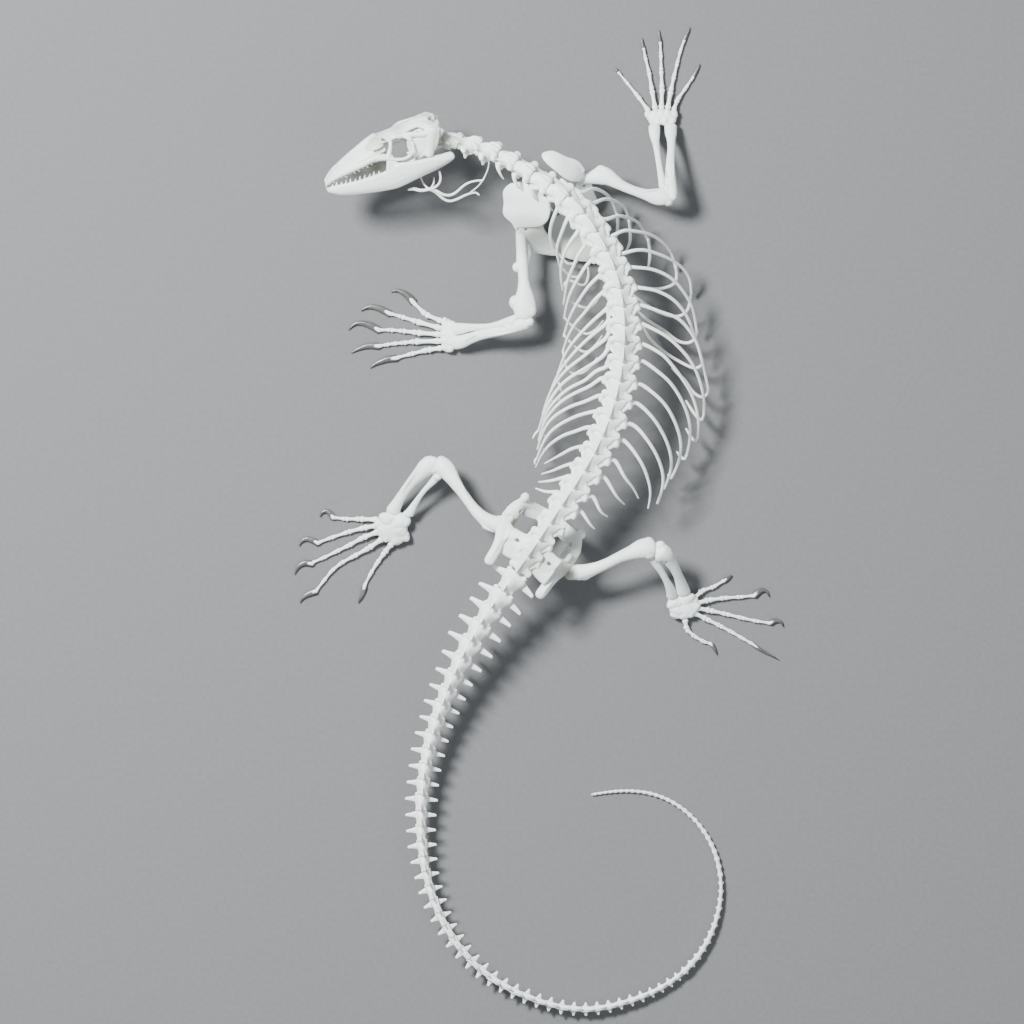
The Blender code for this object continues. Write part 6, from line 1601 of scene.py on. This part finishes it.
# Hands and feet: small bones of wrist and ankle, then each digit bone by bone.
digitShape = {"neck": 0.62, "clear": -0.3, "voxel": 0.36, "smooth": 3, "faces": 1900, "ripple": 0.1}
extremities = {
    "hand_right": {
        "small": (
            (652.6, 120.6, 6.6, 3.6, 3.6, 4.2), (658, 121.4, 7.4, 4.0, 3.8, 4.6), (664.8, 121.2, 7.6, 4.0, 3.8, 4.8),
            (671.4, 120.6, 6.8, 4.0, 3.8, 4.4), (648.6, 114.2, 6, 3.6, 3.2, 4), (655.8, 113.6, 6.8, 3.3, 3.2, 4.2),
            (661.6, 113.2, 7, 3.4, 3.2, 4.4), (667.6, 113.4, 7, 3.6, 3.4, 4.4), (673.8, 114, 6, 3.6, 3.2, 4),
        ),
        "digits": (
            ((649, 111.6, 5.4, 2.9), (638, 96.4, 3.4, 2.3), (626.4, 82, 2.4, 1.8), (618, 72, 2.4, 1.5)),
            (
                (655.4, 109.8, 6, 3.1), (652, 90.4, 4, 2.6), (649, 72.4, 3, 2.1), (645.4, 57.6, 2.6, 1.8),
                (643.4, 48, 2.4, 1.5),
            ),
            (
                (661.4, 109.4, 6.2, 3.1), (662, 88.6, 4, 2.7), (661.2, 71, 3, 2.2), (660.8, 55, 2.6, 1.9),
                (660.2, 42, 2.4, 1.5),
            ),
            (
                (667.6, 109.6, 6.2, 3.1), (670.8, 91, 4, 2.7), (674, 76.6, 3.2, 2.2), (677.2, 63.6, 2.8, 1.9),
                (680.4, 51, 2.6, 1.8), (684.4, 40, 2.4, 1.5),
            ),
            ((673.6, 110.4, 5.6, 2.9), (677.6, 99.6, 4, 2.4), (685.6, 88.4, 2.8, 1.9), (693.4, 76.6, 2.4, 1.5)),
        ),
    },
    "hand_left": {
        "small": (
            (451.4, 325.6, 6.6, 3.8, 4.2, 4.4), (452.6, 333.6, 7.4, 4.2, 4.4, 5), (452.4, 342, 7.4, 4.2, 4.6, 5),
            (450.4, 347.6, 6.4, 3.6, 3.8, 4.2), (445, 321.6, 6, 3.2, 3.4, 4), (444.6, 328, 6.6, 3.2, 3.3, 4.2),
            (444.4, 334.4, 7, 3.2, 3.4, 4.4), (444.6, 340.8, 7, 3.3, 3.4, 4.4), (445.4, 347.4, 6, 3.3, 3.4, 4),
        ),
        "digits": (
            ((442, 321.4, 5.6, 3.3), (425.6, 314.4, 3.6, 3.1), (413.4, 302.4, 2.8, 2.2)),
            ((441, 328.4, 6.2, 3.3), (416.6, 321.6, 4, 3.1), (401.6, 316.8, 3, 2.5), (390.4, 313.6, 2.8, 2.1)),
            (
                (440.8, 334.6, 6.4, 3.3), (416.8, 332.6, 4, 3.1), (402.6, 331, 3.2, 2.5), (390.6, 330, 2.9, 2.3),
                (379.4, 330, 2.8, 2.0),
            ),
            (
                (441, 341, 6.4, 3.3), (414.6, 341.6, 4, 3.1), (403.4, 342.8, 3.2, 2.4), (394, 343.6, 3, 2.2),
                (386.4, 344.8, 2.8, 2.1), (379.4, 346, 2.8, 1.9),
            ),
            ((442, 348, 5.8, 3.3), (427.6, 350, 3.8, 3.1), (411, 354, 3, 2.4), (397, 357.8, 2.8, 2.0)),
        ),
    },
    "foot_left": {
        "small": (
            (388, 518.6, 8.6, 8.0, 5.4, 6.0), (400.6, 521.4, 9.0, 8.4, 6.6, 6.2), (380, 524, 6.4, 4.6, 4.2, 4.6),
            (382.4, 530.4, 6.8, 4.8, 4.2, 5), (390, 528.4, 7.6, 6.2, 5.4, 5.6), (399.6, 530.4, 7.8, 7.2, 5.6, 5.6),
            (387, 536.4, 6.6, 5.0, 4.4, 4.8), (396.4, 538.4, 6.8, 6.0, 5.0, 4.8), (404.6, 536.6, 6.8, 4.6, 4.6, 4.6),
        ),
        "digits": (
            ((378, 519.6, 6, 3.4), (360, 519, 3.8, 2.9), (345.4, 519, 3, 2.3), (333.6, 517.4, 2.6, 2.0)),
            (
                (378, 525.4, 6.6, 3.5), (364, 527.8, 4.2, 3.0), (348, 532, 3.2, 2.5), (331, 537.8, 2.8, 2.1),
                (318.4, 542.6, 2.6, 1.9),
            ),
            (
                (379, 531.4, 6.8, 3.5), (363, 537.6, 4.2, 3.0), (349, 545.4, 3.2, 2.5), (337, 551.2, 2.9, 2.2),
                (323.6, 557.8, 2.7, 2.0), (312.4, 562.6, 2.6, 1.8),
            ),
            (
                (383, 538.4, 6.8, 3.5), (369, 548, 4.2, 3.0), (354, 556.2, 3.3, 2.5), (341.6, 562.8, 3, 2.2),
                (332, 570.6, 2.8, 2.1), (324, 580.6, 2.7, 1.9), (316.4, 590.4, 2.6, 1.7),
            ),
            (
                (392, 543.6, 6.6, 3.6), (384.6, 552.6, 4.2, 3.0), (377.4, 562.6, 3.2, 2.4), (371, 573, 2.8, 2.1),
                (364.6, 585.6, 2.6, 1.7),
            ),
        ),
    },
    "foot_right": {
        "small": (
            (685.6, 598.6, 9.2, 8.0, 5.4, 6.0), (674.6, 602.4, 9.4, 7.0, 5.6, 6.0),
            (693.6, 600.6, 6.6, 4.4, 4.2, 4.6), (695, 606.6, 6.8, 4.4, 4, 4.8), (687, 606, 7.6, 6.0, 5.0, 5.6),
            (677.6, 609.4, 7.8, 6.4, 5.0, 5.6), (691.4, 612, 6.6, 4.8, 4.2, 4.8), (683.6, 613.6, 6.8, 5.2, 4.4, 4.8),
            (675.6, 614, 6.6, 4.6, 4.0, 4.6),
        ),
        "digits": (
            ((692.6, 600, 6, 3.3), (702, 590.6, 3.8, 2.7), (713.4, 587, 3, 2.2), (724.4, 580.4, 2.6, 1.8)),
            (
                (696, 603.6, 6.6, 3.4), (708.6, 600, 4.2, 2.9), (724, 598, 3.2, 2.4), (740, 597, 2.8, 2.1),
                (753.6, 595.6, 2.6, 1.8),
            ),
            (
                (695.6, 607.8, 6.8, 3.4), (710, 610.4, 4.2, 2.9), (726, 614, 3.2, 2.4), (741.4, 617.8, 2.9, 2.2),
                (756, 621, 2.7, 2.0), (769.6, 623, 2.6, 1.8),
            ),
            (
                (693, 612.4, 6.8, 3.4), (706.4, 619, 4.2, 2.9), (720, 625.8, 3.3, 2.4), (731.4, 631.8, 3, 2.2),
                (742, 638, 2.8, 2.0), (751.6, 643.4, 2.6, 1.8),
            ),
            (
                (685, 619.4, 6.4, 3.4), (686.6, 629.4, 4.2, 2.8), (694.6, 636.4, 3.2, 2.3), (703.6, 641.6, 2.8, 2.1),
                (710.6, 643.8, 2.6, 1.7),
            ),
        ),
    },
}


smallShape = {"voxel": 0.45, "smooth": 20, "faces": 24000, "ripple": 0.35}


def smallBones(rows):
    # Rounded bones knit together, each still showing as a low swelling.
    heap = newHeap()
    for i, (right, down, up, *radii) in enumerate(rows):
        turn = i * 0.7
        axes = (Vector((math.cos(turn), math.sin(turn), 0)), Vector((-math.sin(turn), math.cos(turn), 0)), upwards)
        centre, radii = plan(right, down, up), [r * 1.2 for r in radii]
        blob(heap, centre, radii, axes, 18)
        for a in (0.6, 2.4, 4.6):
            way = axes[0] * math.cos(a + turn) + axes[1] * math.sin(a + turn) + Vector((0, 0, 0.5))
            blob(heap, centre + Vector((way.x * radii[0], way.y * radii[1], way.z * radii[2])) * 0.45,
                 [r * 0.68 for r in radii], axes, 14)
    for first, second in zip(rows, rows[1:]):
        if (plan(*first[:3]) - plan(*second[:3])).length < 13:
            tube(heap, [plan(*first[:3]), plan(*second[:3])], [first[3] * 0.7, second[3] * 0.7], 12, 0.8, count=5)
    centres = np.array([tuple(plan(*row[:3])) for row in rows])
    middle, spread = centres.mean(axis=0), centres.std(axis=0)
    blob(heap, tuple(middle), (spread[0] * 1.75 + 1.6, spread[1] * 1.75 + 1.6,
                               float(np.mean([row[5] for row in rows])) * 1.26), None, 24)
    return sculpt("small", heap, smallShape)


def digitBone(first, second):
    # A shaft between two flared, rounded ends, with the far end parted in two lobes.
    a, b = plan(*first[:3]), plan(*second[:3])
    way = (b - a).normalized()
    side = way.cross(upwards).normalized()
    start, end = a + way * digitShape["clear"], b - way * digitShape["clear"]
    wide, narrow = first[3], second[3]
    neck = digitShape["neck"] * (wide + narrow) / 2
    length = (end - start).length
    heap = newHeap()
    steps = (0.0, 0.1, 0.24, 0.5, 0.74, 0.9, 1.0)
    radii = (wide * 0.8, wide, wide * 0.72, neck, narrow * 0.72, narrow * 0.98, narrow * 0.7)
    inset = min(wide, narrow) * 0.45
    points = [start + way * (inset + (length - 2 * inset) * t) + Vector((0, 0, 0.5 * math.sin(math.pi * t)))
              for t in steps]
    tube(heap, points, radii, 16, 0.86, count=20, blunt=0.7)
    for k in (-1, 1):
        blob(heap, end - way * narrow * 0.75 + side * (k * narrow * 0.46),
             (narrow * 0.62, narrow * 0.62, narrow * 0.82), (side, way, upwards), 12)
    return sculpt("digit", heap, digitShape)


for name, shape in extremities.items():
    parts = [smallBones(shape["small"])]
    for rows in shape["digits"]:
        parts += [digitBone(first, second) for first, second in zip(rows, rows[1:])]
    piece(name + "_bones", parts, name, finish="boneLimb", floor=0.2)
print("hands and feet ready")

# Claws: horn sheaths lying on their sides, with a tongue of bone in the base of each.
clawHeights = {"hand_right": (2.2, 2.2, 2.2, 2.1, 1.8), 5: (2.6, 2.5, 2.4, 2.3, 2), 4: (2.5, 2.4, 2.3, 2)}
clawShape = {
    "hand_right": (
        (((620.6, 75), (618, 72), (616.6, 70), (615.4, 68.6), (614, 67)), (1.9, 1.7, 1.4, 0.9, 0.25)),
        (((644.6, 53), (643.6, 48.4), (642.8, 45), (642.2, 41.6), (642, 38)), (1.9, 1.7, 1.4, 1.0, 0.25)),
        (((660.5, 47), (660.3, 42.6), (659.8, 38.4), (659.2, 34.4), (659, 30)), (1.9, 1.7, 1.4, 1.0, 0.25)),
        (((682.2, 45.4), (684.2, 40.6), (686.2, 36), (688.4, 31.6), (690, 27)), (1.9, 1.8, 1.5, 1.0, 0.25)),
        (((691.6, 80), (693.2, 77), (695.8, 72.4), (698.2, 68), (700, 64)), (1.9, 1.7, 1.4, 1.0, 0.25)),
    ),
    "hand_left": (
        (((413, 302), (408.4, 296.4), (403, 292.8), (397, 290.6), (391, 292)), (4.1, 3.7, 2.9, 1.7, 0.3)),
        (((390, 313.6), (381.6, 309.4), (373, 306.8), (366, 307.8), (361, 311)), (3.7, 3.5, 2.7, 1.5, 0.3)),
        (((379, 330), (371.6, 326), (364, 323.4), (356, 323.6), (348.5, 330)), (3.9, 3.7, 2.9, 1.7, 0.3)),
        (((379, 346), (371.6, 345.6), (364.6, 346.6), (357.6, 349.4), (351, 353)), (3.5, 3.1, 2.4, 1.4, 0.3)),
        (((396.6, 358), (388, 359), (381, 361.4), (375, 364.4), (370, 368)), (3.5, 3.1, 2.4, 1.4, 0.3)),
    ),
    "foot_left": (
        (((333.2, 517.6), (330.4, 513.6), (327, 511.2), (323, 512), (320, 517)), (3.4, 3.1, 2.4, 1.5, 0.3)),
        (((318, 543), (312.2, 540), (306.6, 538.8), (302, 541), (299, 546)), (3.3, 3.0, 2.4, 1.5, 0.3)),
        (((312, 563.6), (305.4, 562.8), (300, 565.2), (296.6, 569.4), (294.5, 574.4)), (3.2, 2.9, 2.2, 1.3, 0.3)),
        (((316, 591), (310.4, 593), (305.6, 595.6), (302, 599), (300, 603)), (3.2, 2.8, 2.1, 1.2, 0.3)),
        (((364.4, 586.6), (363.2, 591), (361.8, 595.4), (360, 599.4), (358, 603)), (2.9, 2.5, 1.9, 1.2, 0.3)),
    ),
    "foot_right": (
        (((724.6, 580.4), (727.4, 578.4), (729.8, 576.8), (732, 575)), (2.3, 2.0, 1.4, 0.3)),
        (((754, 595.6), (758.6, 591.6), (763.6, 590), (767, 592.2), (769, 597)), (3.1, 2.9, 2.2, 1.3, 0.3)),
        (((770, 623), (774.6, 620.6), (779, 620.8), (781.6, 623.2), (783, 627)), (2.8, 2.5, 1.9, 1.1, 0.3)),
        (((752, 643.6), (759.6, 649), (767, 653.2), (773, 656.4), (779, 660)), (2.3, 1.9, 1.4, 0.9, 0.25)),
        (((710.8, 643.8), (713, 646.8), (715, 650.4), (717, 655)), (2.4, 2.0, 1.4, 0.3)),
    ),
}
clawFlat, clawLowest = 0.52, 0.25
for name, rows, radii in [(f"{limb}_{number}", *claw) for limb, claws in clawShape.items()
                          for number, claw in enumerate(claws, 1)]:
    up = clawHeights.get(name[:-2], clawHeights[len(rows)])
    spots = [plan(*row, height) for row, height in zip(rows, up)]
    heap = newHeap()
    tube(heap, spots, radii, 16, [clawFlat] * (len(spots) - 1) + [0.9], count=22, blunt=0.25)
    piece("claw_sheath_" + name, [direct(heap)], "claw_" + name, "hornSmoky", clawLowest)
    core = newHeap()
    reach = spots[0].lerp(spots[1], 0.9)
    lead = (spots[0] - spots[1]).normalized()
    tube(core, [spots[0] + lead * 0.6 + Vector((0, 0, 0.7)), spots[0].lerp(reach, 0.5) + Vector((0, 0, 0.75)),
                reach + Vector((0, 0, 0.3))],
         [radii[0] * 0.62, radii[0] * 0.5, radii[0] * 0.2], 12, 0.9, count=10)
    piece("claw_core_" + name, [direct(core)], "claw_" + name, "boneLimb", clawLowest)
print("claws ready", pieceCount["pieces"], "pieces", pieceCount["triangles"], "triangles")


# Floor, light and camera.
def floorMaterial():
    made, tree, shader = newMaterial("floorPlain")
    place = objectPlace(tree)
    grain = noise(tree, place, 240.0, 4.0)
    tree.links.new(mixColour(tree, mapped(tree, grain, 0.3, 0.7), (0.152, 0.156, 0.161), (0.163, 0.167, 0.172)),
                   shader.inputs["Base Color"])
    shader.inputs["Roughness"].default_value = 0.9
    shader.inputs["Specular IOR Level"].default_value = 0.1
    return made


stage = {
    "floorReach": 6.0,
    "target": (0, 0, 0.04),
    "key_light": ((-1.4, 1.25, 2.7), 0.8, 305.0, (0.99, 1.0, 0.985)),
    "fill_light": ((1.8, -1.2, 2.6), 2.6, 24.0, (0.93, 0.97, 1.0)),
    "sky": (0.93, 0.96, 1.0, 1),
    "skyStrength": 0.46,
    "camera": (-0.0275, 0.010, 40.0),
    "lens": 1406.4, "sensor": 36.0, "farthest": 80.0,
}
floorMesh = bpy.data.meshes.new("studio_floor")
reach = stage["floorReach"]
floorMesh.from_pydata([(-reach, -reach, 0), (reach, -reach, 0), (reach, reach, 0), (-reach, reach, 0)], [],
                      [(0, 1, 2, 3)])
floorThing = bpy.data.objects.new("studio_floor", floorMesh)
bpy.context.scene.collection.objects.link(floorThing)
floorMesh.materials.append(floorMaterial())


def areaLamp(name):
    place, size, power, tint = stage[name]
    lamp = bpy.data.lights.new(name, "AREA")
    lamp.shape, lamp.size, lamp.energy, lamp.color = "DISK", size, power, tint
    thing = bpy.data.objects.new(name, lamp)
    bpy.context.scene.collection.objects.link(thing)
    thing.location = place
    thing.rotation_euler = (Vector(stage["target"]) - Vector(place)).to_track_quat("-Z", "Y").to_euler()


areaLamp("key_light")
areaLamp("fill_light")
world = bpy.data.worlds.new("studio")
world.use_nodes = True
backdrop = world.node_tree.nodes["Background"]
backdrop.inputs["Color"].default_value = stage["sky"]
backdrop.inputs["Strength"].default_value = stage["skyStrength"]
bpy.context.scene.world = world

lens = bpy.data.cameras.new("photo_camera")
lens.lens, lens.sensor_width, lens.clip_end = stage["lens"], stage["sensor"], stage["farthest"]
camera = bpy.data.objects.new("photo_camera", lens)
camera.location = stage["camera"]
bpy.context.scene.collection.objects.link(camera)
bpy.context.scene.camera = camera
print("stage ready")
